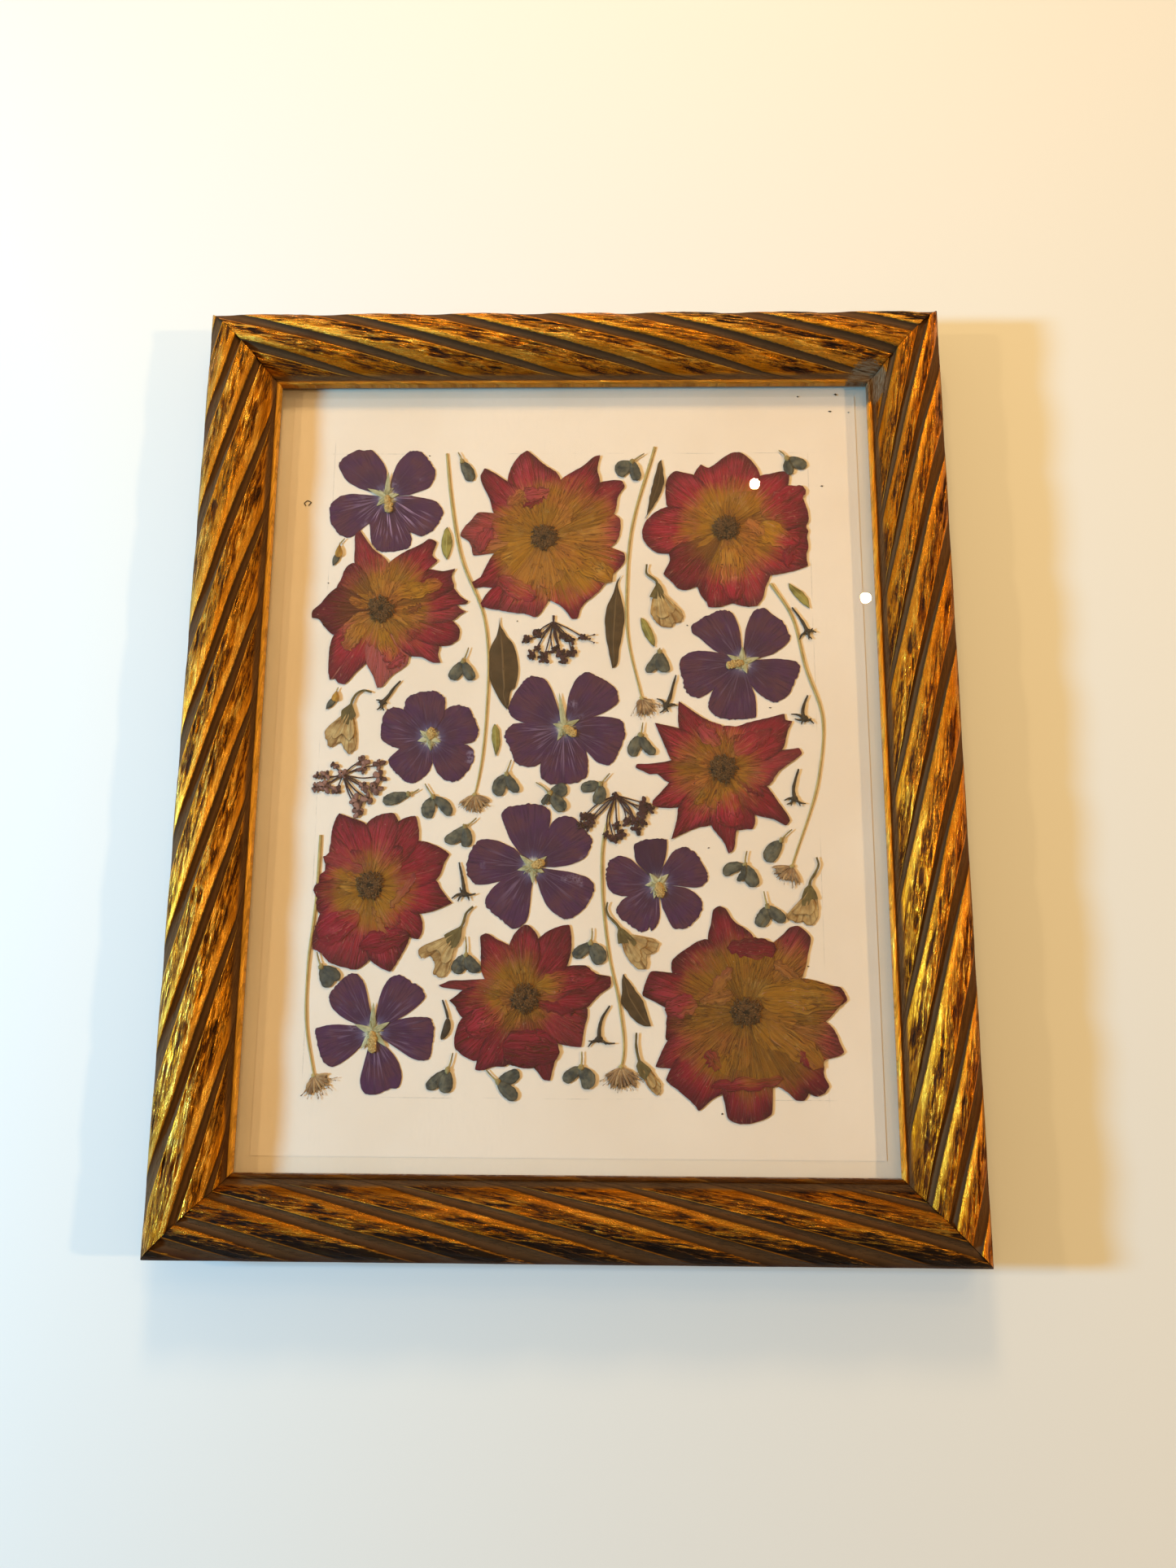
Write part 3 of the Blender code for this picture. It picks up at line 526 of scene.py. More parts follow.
# Half the sight opening and the width of a rail's face, as the frame has them to a tenth of a
# millimetre
SIGHT_HALF = (round(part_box("rail_right")[0].x / MM, 1), round(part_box("rail_top")[0].y / MM, 1))
FACE_WIDTH = round(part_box("rail_top")[1].y / MM, 1) - SIGHT_HALF[1]
# The rabbet, and how far in and up the lower outer edge is cut off
RABBET_WIDTH, RABBET_DEPTH = 6.0, 14.0
FOOT_IN, FOOT_UP = 0.5, 0.6
MITRE_TRIM = 0.15
# The zones of the section, and what the stored height has on top where the rail's back is
FACE, EDGE, SIDE, BACK = 0.0, 0.5, 1.0, 2.0
BACK_MARK = 100.0
# The flutes' slant along a rail: where they cross its places, their slope and how they bend
MIDLINE = 17.0
FLUTE_SLOPE = 4.15
INNER_BEND, OUTER_BEND = 0.05, 0.045
# The moulding's face: distance out from the sight edge, height, and depth of the flutes there
FACE_LINE = ((0.0, 16.9, 0.0), (0.35, 17.4, 0.0), (0.9, 17.5, 0.0), (1.45, 17.4, 0.0), (1.9, 17.0, 0.0),
             (2.3, 16.9, 0.05), (3.2, 17.1, 0.15), (4.5, 18.0, 0.5), (7.0, 21.5, 1.3), (11.0, 25.8, 1.9),
             (15.0, 28.8, 2.1), (19.0, 30.0, 2.1), (23.0, 29.9, 2.0), (27.0, 28.9, 1.7), (29.6, 27.0, 1.3),
             (31.3, 24.3, 0.7), (32.2, 21.2, 0.1), (32.5, 18.0, 0.0))

# Places where the flutes cross the midline, along each rail from its middle
FLUTES = {
    "rail_top": (-254, -208, -161, -115, -67, -18, 27, 72, 121, 165, 208, 254),
    "rail_right": (-300, -256, -214, -172, -136, -93, -47, -3, 48, 90, 142, 182, 225, 270),
    "rail_bottom": (-270, -224, -178, -132, -85, -40, 8, 52, 97, 146, 187, 230, 275),
    "rail_left": (-316, -270, -226, -187, -134, -86, -42, 3, 47, 94, 146, 192, 236, 282),
}
# For each rail: half the sight length, the middle of its sight edge and its turn in degrees
RAIL_FRAMES = {
    "rail_top": (SIGHT_HALF[0], (0.0, SIGHT_HALF[1]), 0.0),
    "rail_right": (SIGHT_HALF[1], (SIGHT_HALF[0], 0.0), -90.0),
    "rail_bottom": (SIGHT_HALF[0], (0.0, -SIGHT_HALF[1]), 180.0),
    "rail_left": (SIGHT_HALF[1], (-SIGHT_HALF[0], 0.0), 90.0),
}
# How the flutes' half width grows outwards: distance out and share of its value at the midline
FLUTE_SPREAD = ((4.0, 10.0, 17.0, 30.0), (0.5, 0.88, 1.0, 1.15))
# For each rail: its flutes' width as a share of the setting, and how much painted shade darkens its gilding
FLUTE_WIDTHS = {"rail_top": 1.08, "rail_right": 0.94, "rail_bottom": 1.1, "rail_left": 0.94}
PAINTED_SHADE = {"rail_top": 0.5, "rail_right": 0.0, "rail_bottom": 0.95, "rail_left": 0.0}
# For each rail: how strongly a painted warm tint, standing in for the warm lamps' light on it, warms its
# gilding
LAMP_WARMTH = {"rail_top": 0.5, "rail_right": 0.9, "rail_bottom": 0.6, "rail_left": 0.1}
# The end of a rail where filler covers the carving, as the sign of the distance along it
FILLED_CORNER = {"rail_top": 1, "rail_right": -1}
FACE_STEP = 0.4
LENGTH_STEP = 0.9


def flute_drift(out):
    """How far along the rail a flute has moved at a distance out from the sight edge: the slope for
    each unit from the midline, bent by the square of that distance on both sides of it."""
    away = out - MIDLINE
    return (OUTER_BEND * np.maximum(away, 0.0) ** 2 + INNER_BEND * np.maximum(-away, 0.0) ** 2
            - FLUTE_SLOPE * away)


def rail_section():
    """The closed outline across a rail as (out, up, flute depth, zone), from the sight edge over the
    face, down the outer side, along the back and up the rabbet. Zone is FACE, EDGE, SIDE or BACK,
    which is what a hung frame hides."""
    line = np.array(FACE_LINE)
    run = np.hypot(*np.diff(line[:, :2], axis=0).T).sum()
    face = smooth_line(line, int(run / FACE_STEP))
    face = np.c_[face[:, :2], np.maximum(face[:, 2], 0), np.full(len(face), FACE)]
    face[:, 0] = np.clip(face[:, 0], 0, FACE_WIDTH)
    face[-1, 0] = FACE_WIDTH
    # Straight parts: their two ends, their number of points, the first of these that counts and
    # their zone
    straights = (((FACE_WIDTH, face[-1, 1]), (FACE_WIDTH, FOOT_UP), 14, 1, SIDE),
                 ((FACE_WIDTH - FOOT_IN, 0), (RABBET_WIDTH, 0), 8, 0, BACK),
                 ((RABBET_WIDTH, 0), (RABBET_WIDTH, RABBET_DEPTH), 6, 1, BACK),
                 ((RABBET_WIDTH, RABBET_DEPTH), (0, RABBET_DEPTH), 4, 1, BACK),
                 ((0, RABBET_DEPTH), (0, face[0, 1]), 5, 1, EDGE))
    parts = [face]
    for start, end, count, first, zone in straights:
        points = np.linspace(start, end, count)[first:]
        parts.append(np.c_[points, np.zeros(len(points)), np.full(len(points), zone)])
    return np.concatenate(parts)[:-1]


def rail_shell(rail, half_width, grain_depth):
    """One rail. Sections stand at equal shares of its length, which grows with the distance out, so
    the ends are the mitres.

    The height on the face is the section's, less the flutes' depth times 1 - q^2, where q is the
    distance to the nearest flute's middle over its half width, less the roll of the lobe between
    two flutes, less the grain, plus a fine bead along the flutes' inner edges. The grain has long
    shallow streaks and, in patches, lens-shaped hollows with a raised rim, both noises stretched
    along the rail. A smear of filler covers the carving at the top right sight corner."""
    half_sight, middle, turn = RAIL_FRAMES[rail]
    seed = 11 * (1 + list(RAIL_FRAMES).index(rail))
    out, up, depth, zone = rail_section().T
    count, columns = 2 * int((half_sight + 0.5 * FACE_WIDTH) / LENGTH_STEP), len(out)
    s = np.linspace(-1, 1, count)[:, None] * (half_sight + out[None] - MITRE_TRIM)
    u = out[None] + 0 * s
    # Where each point lies between the flutes
    d = s - flute_drift(out)[None] + 1.3 * smooth_noise(s / 34, u / 11, seed)
    flutes = np.array(FLUTES[rail], float)
    half_width = (half_width * FLUTE_WIDTHS[rail] * np.interp(out, *FLUTE_SPREAD))[None]
    upper = np.clip(np.searchsorted(flutes, d), 1, len(flutes) - 1)
    behind, ahead = flutes[upper - 1], flutes[upper]
    q_behind, q_ahead = (d - behind) / half_width, (d - ahead) / half_width
    q = np.where(np.abs(q_behind) < np.abs(q_ahead), q_behind, q_ahead)
    lobe = np.clip((ahead - half_width - d) / (ahead - behind - 2 * half_width), 0, 1)
    groove = np.clip(1 - q * q, 0, 1) ** 0.8
    roll = np.where(np.abs(q) < 1, 1, 1 - np.sin(math.pi * lobe ** 1.2))
    # The grain of the wood
    warp = 0.12 * s + 1.3 * smooth_noise(s / 24, u / 6, seed + 2)
    streak = layered_noise(s / 12, (u + warp) / 1.25, seed + 3, 2)
    hollow = smooth_noise(s / 9 + 3, (u + warp) / 0.95, seed + 7)
    patch = step_up(smooth_noise(s / 19 + 9, u / 7, seed + 5), -0.5, 0.3)
    rim = step_up(hollow, 0.0, 0.22) * (1 - step_up(hollow, 0.22, 0.4))
    grain = patch * (0.8 * step_up(hollow, 0.25, 0.7) - 0.4 * rim) - 0.55 * np.clip(streak, -1, 0.5)
    on_face = (zone == FACE)[None] * step_up(u, 3.0, 6.0) * (1 - step_up(u, 30.5, 32.0))
    lobes = np.clip(np.abs(q) - 1, 0, 0.35) / 0.35 * (1 - 0.8 * step_up(lobe, 0.7, 0.85))
    grain = grain * lobes * on_face
    bead = 0.28 * np.exp(-((q + 1.14) / 0.16) ** 2) * on_face * (1 - step_up(u, 25, 31))
    side = FILLED_CORNER.get(rail, 0)
    filled = np.exp(-(np.hypot(s - side * half_sight, 1.2 * u) / 8.5) ** 2) * abs(side)
    cut = (depth[None] * (0.86 * groove + 0.34 * roll) + grain_depth * grain - bead) * (1 - 0.9 * filled)
    rough = 0.05 * layered_noise(s / 3, u / 2.2, seed + 6, 2) * (1 + 5 * filled)
    rough = rough * (zone != BACK)[None] * step_up(up, 14.2, 16.5)[None]
    z = np.clip(up[None] - cut + rough, 0, CREST)
    # Kept at the points for the finish, with each rail's painted shade and painted warm-light tint
    values = {"carve": np.stack([q, lobe, grain], -1),
              "place": np.stack([s, u, z + BACK_MARK * (zone == BACK)[None]], -1),
              "worn": filled, "painted_shade": PAINTED_SHADE[rail] + 0 * u, "thin": LAMP_WARMTH[rail] + 0 * u}
    co = np.dstack([turned(np.stack([s, u], -1), turn) + middle, z]).reshape(-1, 3)
    quads = grid_faces(count, columns, wrap=True)
    hidden = np.tile(np.append(zone[:-1] + zone[1:] >= BACK + EDGE, [False]), count - 1)
    start = np.arange(columns)[None]
    faces = [quads[~hidden], quads[hidden], start[:, ::-1], start + (count - 1) * columns]
    corner, after, opposite = (co[quads[:, i]] for i in range(3))
    if np.sum(corner * np.cross(after, opposite)) < 0:
        faces = [f[:, ::-1] for f in faces]
    return as_shell(co, faces, [False, True, True, True], values, 0)


def gilded_finish(g):
    """Gold leaf rubbed through to red bole and black on the lobes, matte brown wash in the flutes and bare
    wood on the back. The flutes' edges keep a bright line of gold, rubbed gold that is also a painted
    highlight. The lobes' smooth roll is painted bright as a painted reflection, and each rail's gilding
    carries its own painted shade, black on the darker rails' outer half, and a painted warm-light tint."""
    f = Finish("carved_gilding", 0.4, specular=0.12)
    q, lobe, grain = f.stored("carve")
    s, u, z = f.stored("place")
    # The filler, and the rail's painted shade and painted warm-light tint
    worn, painted_shade, thin = f.numbers("worn", "painted_shade", "thin")
    back = z.rise(0.6 * BACK_MARK, 0.9 * BACK_MARK)
    outermost = u.rise(31.6, 32.3)
    # How far across the face a point lies, which on the outer side goes on downwards
    run = u + (19.0 - z).high(0.0) * outermost
    lean = run + s * 0.12
    wide = f.streaks(s * 0.022, u * 0.09, 3.0)
    drift = wide - 0.5
    gouge = f.streaks(s * 0.08, lean * 1.05, 1.0, 4.0, 0.62, 0.3)
    fine = f.streaks(s * 0.22, lean * 2.7, 5.0, 4.0, 0.7)
    split = f.streaks(s * 0.06, lean * 0.85, 11.0, 3.0, 0.6, 0.5)
    speck = f.streaks(s * 1.1, run * 2.2, 8.0, 2.0)
    patch = f.streaks(s * 0.045, run * 0.13, 21.0, 2.0).rise(0.36, 0.56)
    ragged = (f.streaks(s * 0.5, u * 0.9, 2.0) - 0.5) * 0.2
    ridge = gouge * 0.6 + fine * 0.4 - grain * 0.1
    # Where the flutes are: the wash stops at their crisp edges
    flute = (abs(q) + ragged).rise(1.0, 0.86)
    channel = (u + drift * 2.5).rise(5.0, 3.4) * u.rise(1.75, 2.05)
    outer_band = (u + drift * 3.0).rise(29.6, 31.0)
    filler = (worn + (speck - 0.5) * 0.35 + drift * 0.5).rise(0.26, 0.36)
    washed = flute.high(channel).high(outer_band * 0.7).high(filler)
    # The lobes: streaked gold over bronze, with a smooth roll beside the flute inside them painted bright
    # gold as a painted reflection, and pale gold on the grain's ridges as wear and painted highlight
    roll = (lobe + drift * 0.3).rise(0.62, 0.86)
    tired = (drift * 0.9 + u.rise(11.0, 4.0) * 0.6).rise(0.1, 0.7)
    crest = ridge.rise(0.51, 0.57).high(roll * 0.4)
    red = (ridge.rise(0.48, 0.38) * 0.6 + tired * 0.6) * (1 - roll * 0.6)
    crack = (1 - abs(split - 0.5) / 0.06).clip().high((1 - abs(gouge - 0.46) / 0.045).clip())
    crevice = (crack * (0.45 + patch * 0.55)).high(ridge.rise(0.46, 0.4) * (0.3 + patch * 0.7))
    crevice = crevice.high(speck.rise(0.6, 0.66) * patch) * (1 - roll * 0.85)
    scar = grain.rise(0.2, 0.7) * (split + fine - gouge * 0.5).rise(0.8, 0.66)
    dark = crevice.high(scar * 0.9).clip()
    # Painted shade: black over the outer half of the lobes and their low grain on the darker rails
    shaded_black = painted_shade * (0.5 - lobe * 0.5 + u.rise(14.0, 29.0) * 0.8)
    shaded_black = (shaded_black + (0.5 - ridge) * 3.6 + drift).rise(0.42, 0.66)
    gold = f.coats(g.bronze,
                   (g.gold, ridge.rise(0.43, 0.52).high(roll * (0.45 + fine * 0.5))),
                   (g.pale_gold, (crest * (0.25 + wide.rise(0.4, 0.6) * 0.6) * (1 - tired)).clip()),
                   (g.bole, (red * 0.75).clip()),
                   (g.black, (dark * 0.92).high(shaded_black * painted_shade.rise(0.0, 0.3) * 0.95)))
    # Bright lines on the flutes' edges, rubbed gold that is also a painted highlight where the edge catches
    # the light, and worn gold at their far edges near the outer side
    inner_line = q.band(-1.1, 0.17) * u.rise(3.4, 5.0) * u.rise(31.5, 26.0) * (1 - filler)
    outer_line = q.band(1.1, 0.16) * u.rise(17.0, 25.0) * u.rise(31.5, 30.0)
    outer_line = outer_line * (wide + speck * 0.3).rise(0.52, 0.7)
    line = inner_line.high(outer_line * 0.7) * (0.5 + fine * 0.8) * (1 - shaded_black * painted_shade * 0.3)
    line = line.clip()
    line_gold = f.mix(g.gold, g.pale_gold, u.rise(16.0, 6.0) * 0.7)
    shadow = (q.rise(-0.1, 0.95) * flute).high(fine.rise(0.45, 0.65) * 0.6)
    wash = f.coats(g.flute,
                   (shade(g.flute, 0.4), shadow),
                   (g.bole, (outer_band * 0.4 + wide.rise(0.55, 0.75) * 0.35).clip()),
                   (linear(136, 120, 98), filler * fine.rise(0.4, 0.6) * 0.8))
    lip = u.rise(1.95, 1.7) * (1 - back)
    # The lip's gold takes red bole as painted shade on the darker rails
    lip_gold = f.coats(g.gold,
                       (g.pale_gold, 0.35),
                       (g.bole, (1 - gouge).rise(0.45, 0.66) * 0.45),
                       (g.black, u.band(1.75, 0.25) * 0.7),
                       (g.bole, (painted_shade * 0.9).clip()))
    # The outer side's dark paint and the back's bare wood
    side = (1 - z.rise(17.2, 19.2)) * outermost
    paint = f.coats(shade(g.bole, 0.5),
                    (shade(g.flute, 0.55), gouge.rise(0.4, 0.6)),
                    (g.gold, (gouge * 0.5 + speck * 0.5).rise(0.56, 0.66) * 0.6))
    wood_grain = f.streaks(s * 0.03, u * 1.4, z * 1.4, 5.0, 0.6, 0.6)
    wood = f.mix(g.wood, shade(g.wood, 0.45), wood_grain.rise(0.42, 0.68))
    colour = f.coats(gold, (wash, washed), (line_gold, line), (lip_gold, lip * (1 - filler)))
    # Painted warm light: the gilding tinted orange, less in the wash, as each rail's share of the warm lamps'
    # light
    colour = f.mix(colour, linear(255, 218, 149), thin * (1 - washed * 0.75), "MULTIPLY")
    # Painted shade: the darker rails' gilding dimmed, less on the wash and the bright lines
    shade_dimmed = painted_shade.rise(0.6, 0.95) * (1 - washed.high(line) * 0.6)
    colour = f.mix(colour, linear(184, 180, 168), shade_dimmed, "MULTIPLY")
    colour = f.coats(colour, (paint, side), (wood, back))
    shine = (1 - washed).high(line).high(lip) * (1 - dark.high(shaded_black * painted_shade) * 0.9)
    shine = shine * (1 - red.clip() * 0.35) * (1 - side * 0.8) * (1 - back)
    f.feed("Metallic", (shine * 0.82).clip())
    relief = (ridge * 1.6 + split * 0.3 + speck * 0.12) * (1 - flute * 0.75)
    return f.done(colour, (0.7 - shine * 0.5 + fine * 0.12).clip(), relief - crevice * 0.5 + roll * 0.3,
                  0.85, 0.0005)


class FLOWERFRAME_OT_rails(bpy.types.Operator):
    """Carves the four mitred rails and gilds them"""
    bl_idname = "flower_frame.rails"
    bl_label = "Carved rails"

    def execute(self, context):
        g = context.scene.flower_frame_gilding
        gilding = gilded_finish(g)
        for rail in RAIL_FRAMES:
            shell = rail_shell(rail, g.flute_half_width / MM, g.grain_depth / MM)
            write_piece("carved_" + rail, [shell], [gilding], rail)
        return {"FINISHED"}


# ---- Glass, paper, board and hardware: finishes for the CAD nodes ----

def set_finish(node, material):
    """Puts a finish in every material slot of a CAD node."""
    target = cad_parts[node]
    if not target.material_slots:
        target.data.materials.append(material)
    for slot in target.material_slots:
        slot.material = material


def glass_finish():
    """Clear glass that lets the lamps' and the scattered light straight through to the paper, so that
    neither counts twice."""
    f = Finish("clear_pane", 0.0)
    f.feed("Transmission Weight", 1.0)
    f.feed("IOR", 1.5)
    f.feed("Base Color", (0.985, 0.995, 0.985))
    shadow, scattered = (f.add("ShaderNodeLightPath", output=ray)
                         for ray in ("Is Shadow Ray", "Is Diffuse Ray"))
    glass, clear = Level(f, f.shader.outputs[0]), f.add("ShaderNodeBsdfTransparent")
    mixed = f.add("ShaderNodeMixShader", None, {0: shadow.high(scattered), 1: glass, 2: clear})
    f.put(mixed, f.tree.nodes["Material Output"].inputs["Surface"])
    return f.material


def paper_finish(name, colour, lines):
    """Cream paper with a fine tooth, faint cloudy tone and a few brown spots. The flower sheet also
    has a broken pencil line around the flowers."""
    f = Finish(name, 0.85, specular=0.25)
    place = f.place()
    tooth = f.noise(place, 2600.0, 2.0)
    fibre = f.noise(f.stretch(place, 900.0, 240.0, 900.0), 1.0, 3.0, 0.6, 0.8)
    tone = f.coats(colour,
                   (shade(colour, (0.95, 0.925, 0.89)), f.noise(place, 14.0).rise(0.35, 0.7)),
                   (shade(colour, 0.93), ((fibre * 0.6 + tooth * 0.4).rise(0.45, 0.7) * 0.55).clip()),
                   (linear(170, 118, 66), f.spots(place, 38.0, 0.035, 0.01, 9.0, 0.6, 0.66) * 0.55))
    if lines:
        x, y, _ = f.parts(f.stretch(place, *[1 / MM] * 3))
        wander = (f.noise(place, 22.0, 2.0) - 0.5) * 0.9
        faint = f.noise(place, 55.0, 2.0).rise(0.44, 0.62) * f.noise(place, 1500.0, 2.0).rise(0.35, 0.6)
        # Two upright and two level lines: where they lie and where their ends fade, in millimetres
        uprights, levels = (
            (across + wander).band(one, 0.28).high((across + wander).band(other, 0.28))
            * abs(along).rise(*ends)
            for across, one, other, along, ends in ((x, -110.0, 108.0, y, (150.0, 147.0)),
                                                    (y, 143.0, -144.5, x, (114.0, 111.0))))
        tone = f.mix(tone, linear(150, 138, 126), (uprights.high(levels) * faint * 0.6).clip())
    return f.done(tone, 0.8 + tooth * 0.12, tooth * 0.5 + fibre * 0.5, 0.25, 0.00008)


def board_finish():
    """Grey-brown fibre board: short fibres, dark flecks and a few scuffs."""
    f = Finish("fibre_board", 0.9, specular=0.2)
    place = f.place()
    fibre = f.noise(f.stretch(place, 320.0, 1300.0, 1300.0), 1.0, 4.0, 0.65, 1.2)
    fleck = f.spots(place, 420.0, 0.22, 0.1, 300.0, 0.55, 0.65)
    scuff = f.noise(f.stretch(place, 16.0, 70.0, 16.0), 1.0, 4.0, 0.6)
    tone = f.coats(linear(146, 116, 84),
                   (linear(108, 82, 56), fibre.rise(0.35, 0.68)),
                   (linear(66, 48, 34), (fleck * 0.7).clip()),
                   (linear(176, 148, 112), scuff.rise(0.6, 0.72) * 0.4))
    return f.done(tone, 0.82 + fibre * 0.14, fibre * 0.7 + fleck * 0.3, 0.5, 0.0002)


def metal_finish(name, colour, stain, roughness):
    """Dull metal with fine rolling marks along X and patches of tarnish."""
    f = Finish(name, roughness, metallic=1.0)
    place = f.place()
    marks = f.noise(f.stretch(place, 160.0, 4200.0, 4200.0), 1.0, 3.0, 0.6)
    tarnish = f.noise(place, 420.0, 4.0, 0.62)
    patches = tarnish.rise(0.52, 0.68)
    f.feed("Metallic", 1.0 - patches * 0.55)
    colour = f.coats(colour, (shade(colour, 0.7), marks.rise(0.4, 0.7)), (stain, patches * 0.75))
    return f.done(colour, roughness - 0.08 + marks * 0.16 + patches * 0.28, marks * 0.5 + tarnish * 0.5,
                  0.3, 0.00006)


def paper_shell(node, low, high):
    """A faintly cockled sheet with the outline of its node, between two heights."""
    near, far = (np.array(corner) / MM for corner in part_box(node))
    x, y = np.meshgrid(np.linspace(near[0], far[0], 41), np.linspace(near[1], far[1], 51))
    cockle = 0.02 * (smooth_noise(x / 40, y / 50, 77) - 1)
    return {**thin_shell(np.stack([x, y, high + cockle], -1), high - low, {}), "flat": [True] * 3}


class FLOWERFRAME_OT_glazing(bpy.types.Operator):
    """Finishes the glass, the two sheets and the board in the rabbet"""
    bl_idname = "flower_frame.glazing"
    bl_label = "Glass, paper and board"

    def execute(self, context):
        set_finish("glass_pane", glass_finish())
        set_finish("backing_board", board_finish())
        # The two sheets lie on each other, so the upper one's edges show as a fine step
        papers = (("flower_sheet", PAPER_JOIN + 0.04, SHEET_TOP, linear(240, 221, 202)),
                  ("backing_sheet", bottom_of("backing_sheet"), PAPER_JOIN, linear(234, 215, 194)))
        for node, low, high, colour in papers:
            paper = paper_finish(node + "_paper", colour, node == "flower_sheet")
            write_piece("cream_" + node, [paper_shell(node, low, high)], [paper], node)
        return {"FINISHED"}


class FLOWERFRAME_OT_hardware(bpy.types.Operator):
    """Finishes the hanger, its nails and the framer's points on the back"""
    bl_idname = "flower_frame.hardware"
    bl_label = "Hanger, nails and points"

    def execute(self, context):
        set_finish("hanger", metal_finish("dull_brass", linear(196, 158, 84), linear(104, 70, 34), 0.42))
        steel = metal_finish("dull_steel", linear(150, 150, 152), linear(98, 66, 46), 0.45)
        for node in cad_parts:
            if node.startswith(("nail_", "point_")):
                set_finish(node, steel)
        return {"FINISHED"}


# ---- Pressed flowers: shared shapes ----

# Heights of the pressed layers over the sheet: the glass presses them, the paper lies under them
STEM_LEVEL = SHEET_TOP + 0.34
LEAF_LEVEL = SHEET_TOP + 0.5
MALLOW_LEVEL = SHEET_TOP + 0.26
ROSE_LEVEL = SHEET_TOP + 0.45
CALYX_LEVEL = LEAF_LEVEL + 0.1
UNDER_GLASS = GLASS_UNDER - 0.06


def ruled(left, right, level, columns=9, rows=30, camber=0.0, fold=0.0, seed=0, thickness=0.18, tone=0.0,
          finish=0, ragged=0.0):
    """A blade between two sides that run from its tip to its foot. A point is left + (right - left) * a,
    and its height is the level plus camber * (1 - (2a - 1)^2) and folds along the blade."""
    across, v = np.linspace(0, 1, columns)[None], np.linspace(0, 1, rows)[:, None]
    one, other = smooth_line(left, rows)[:, None], smooth_line(right, rows)[:, None]
    xy = one + (other - one) * across[..., None]
    width = np.linalg.norm(other - one, axis=2)
    edge = np.minimum(across, 1 - across)
    sway = ragged * smooth_noise(v * 14, across * 0 + 2 * (across > 0.5), seed + 3) * (1 - 2 * edge)
    xy = xy + (sway * np.sign(across - 0.5) / np.maximum(width, 1e-3))[..., None] * (other - one)
    z = (level + camber * (1 - (2 * across - 1) ** 2) * np.sin(math.pi * v)
         + fold * layered_noise(across * 4, v * 3, seed))
    values = {"petal": np.stack([across + 0 * v, v + 0 * across, np.linalg.norm(xy, axis=2)], -1),
              "tone": np.full(z.shape, float(tone)), "margin": edge * width}
    return thin_shell(np.dstack([xy, z]), thickness, values, finish)


def blade(start, tip, width, level, belly, blunt=0.55, bend=0.0, **rest):
    """A ruled blade from a start to a tip. Half its width is v^b * (1 - v)^c over its own highest
    value, where belly sets where it is widest and blunt how full its ends are."""
    start, tip = np.asarray(start, float), np.asarray(tip, float)
    v = np.linspace(0, 1, 14)[:, None]
    full = v ** (2 * blunt * belly) * (1 - v) ** (2 * blunt * (1 - belly))
    half = 0.5 * width * np.maximum(full / full.max(), 0.05)
    ahead = tip - start
    normal = np.array([-ahead[1], ahead[0]]) / max(np.hypot(*ahead), TINY)
    middle = start + ahead * v + normal * bend * np.sin(math.pi * v)
    return ruled(middle + normal * half, middle - normal * half, level, **rest)


def stalk(points, level, radius, steps, seed, taper=1.0, wave=0.0, finish=0, tone=0.0, sides=6):
    """A pressed stalk: a tube squeezed flat, along a smooth line through the points."""
    v = np.linspace(0, 1, steps)
    z = np.full(steps, level) + wave * smooth_noise(v * 6, v * 0 + 1, seed)
    size = radius * (1 + (taper - 1) * v) * (1 + 0.12 * smooth_noise(v * 12, v * 0 + 4, seed + 1))
    return tubes(np.c_[smooth_line(points, steps), z][None], size[None], [tone], sides, 0.46, finish)


def threads(count, centre, reach, level, rise, seed, radius, curl, spread=(0.0, 360.0), inner=0.0):
    """Fine threads from a middle outwards: each runs at a random angle to a random share of the
    reach, curls sideways as the square of its length and rises by up to rise."""
    rng = np.random.default_rng(seed)
    angle = np.radians(rng.uniform(*spread, count))[:, None]
    length = (reach * rng.uniform(0.35, 1.0, count))[:, None]
    v = np.linspace(0, 1, 6)[None]
    turn = angle + curl * rng.uniform(-1, 1, count)[:, None] * v**2
    r = inner + (length - inner) * v
    lift = rng.uniform(0.2, 1.0, count)[:, None] * rise
    x, y = centre[0] + r * np.cos(turn), centre[1] + r * np.sin(turn)
    size = radius * (1 + 1.3 * (v > 0.82)) + 0 * r
    tones = rng.uniform(-0.5, 0.5, count)
    return tubes(np.stack([x, y, level + lift * np.sin(v * 2.4)], -1), size, tones,
                 sides=4, flat=0.8, finish=1)


def press(name, centre, shells, finishes, replaces=True):
    """Writes a plant's shells as a piece, moved to its middle and kept under the glass."""
    for shell in moved(shells, centre):
        shell["co"][:, 2] = np.minimum(shell["co"][:, 2], UNDER_GLASS)
    write_piece("pressed_" + name, shells, finishes, name if replaces else None)


def dried_finish(name, light, dark, vein, rim=None, grain=(5.0, 1.6), veins=0.5, mottle=0.6,
                 mottle_scale=420.0):
    """A dried plant's skin: mottled between two colours, with veins along it and a darker rim."""
    f = Finish(name, 0.8, specular=0.1)
    across, along, _ = f.stored("petal")
    tone, margin = f.numbers("tone", "margin")
    cloud = f.noise(f.place(), mottle_scale, 4.0, 0.6)
    lines = f.streaks(across * grain[0] * 4.0, along * grain[1], tone * 9.0, 2.0, 0.5, 0.3)
    colour = f.coats(light,
                     (dark, ((cloud - 0.5) * mottle * 3.2 + 0.45).clip()),
                     (vein, lines.rise(0.5, 0.68) * veins),
                     (dark, (-tone).clip()),
                     (light, (tone * 0.8).clip()))
    if rim:
        colour = f.mix(colour, rim, margin.rise(0.7, 0.05) * 0.7)
    return f.done(colour, 0.72 + cloud * 0.16, lines * 0.5 + cloud * 0.7, 0.5, 0.00018)


# ---- Roses ----

INNER_PETALS = 7
# Millimetres from where the ochre ends to where the crimson is full
BLUSH_WIDTH = 14.0
DARK, DIM, PALE = -0.8, -0.4, 0.7
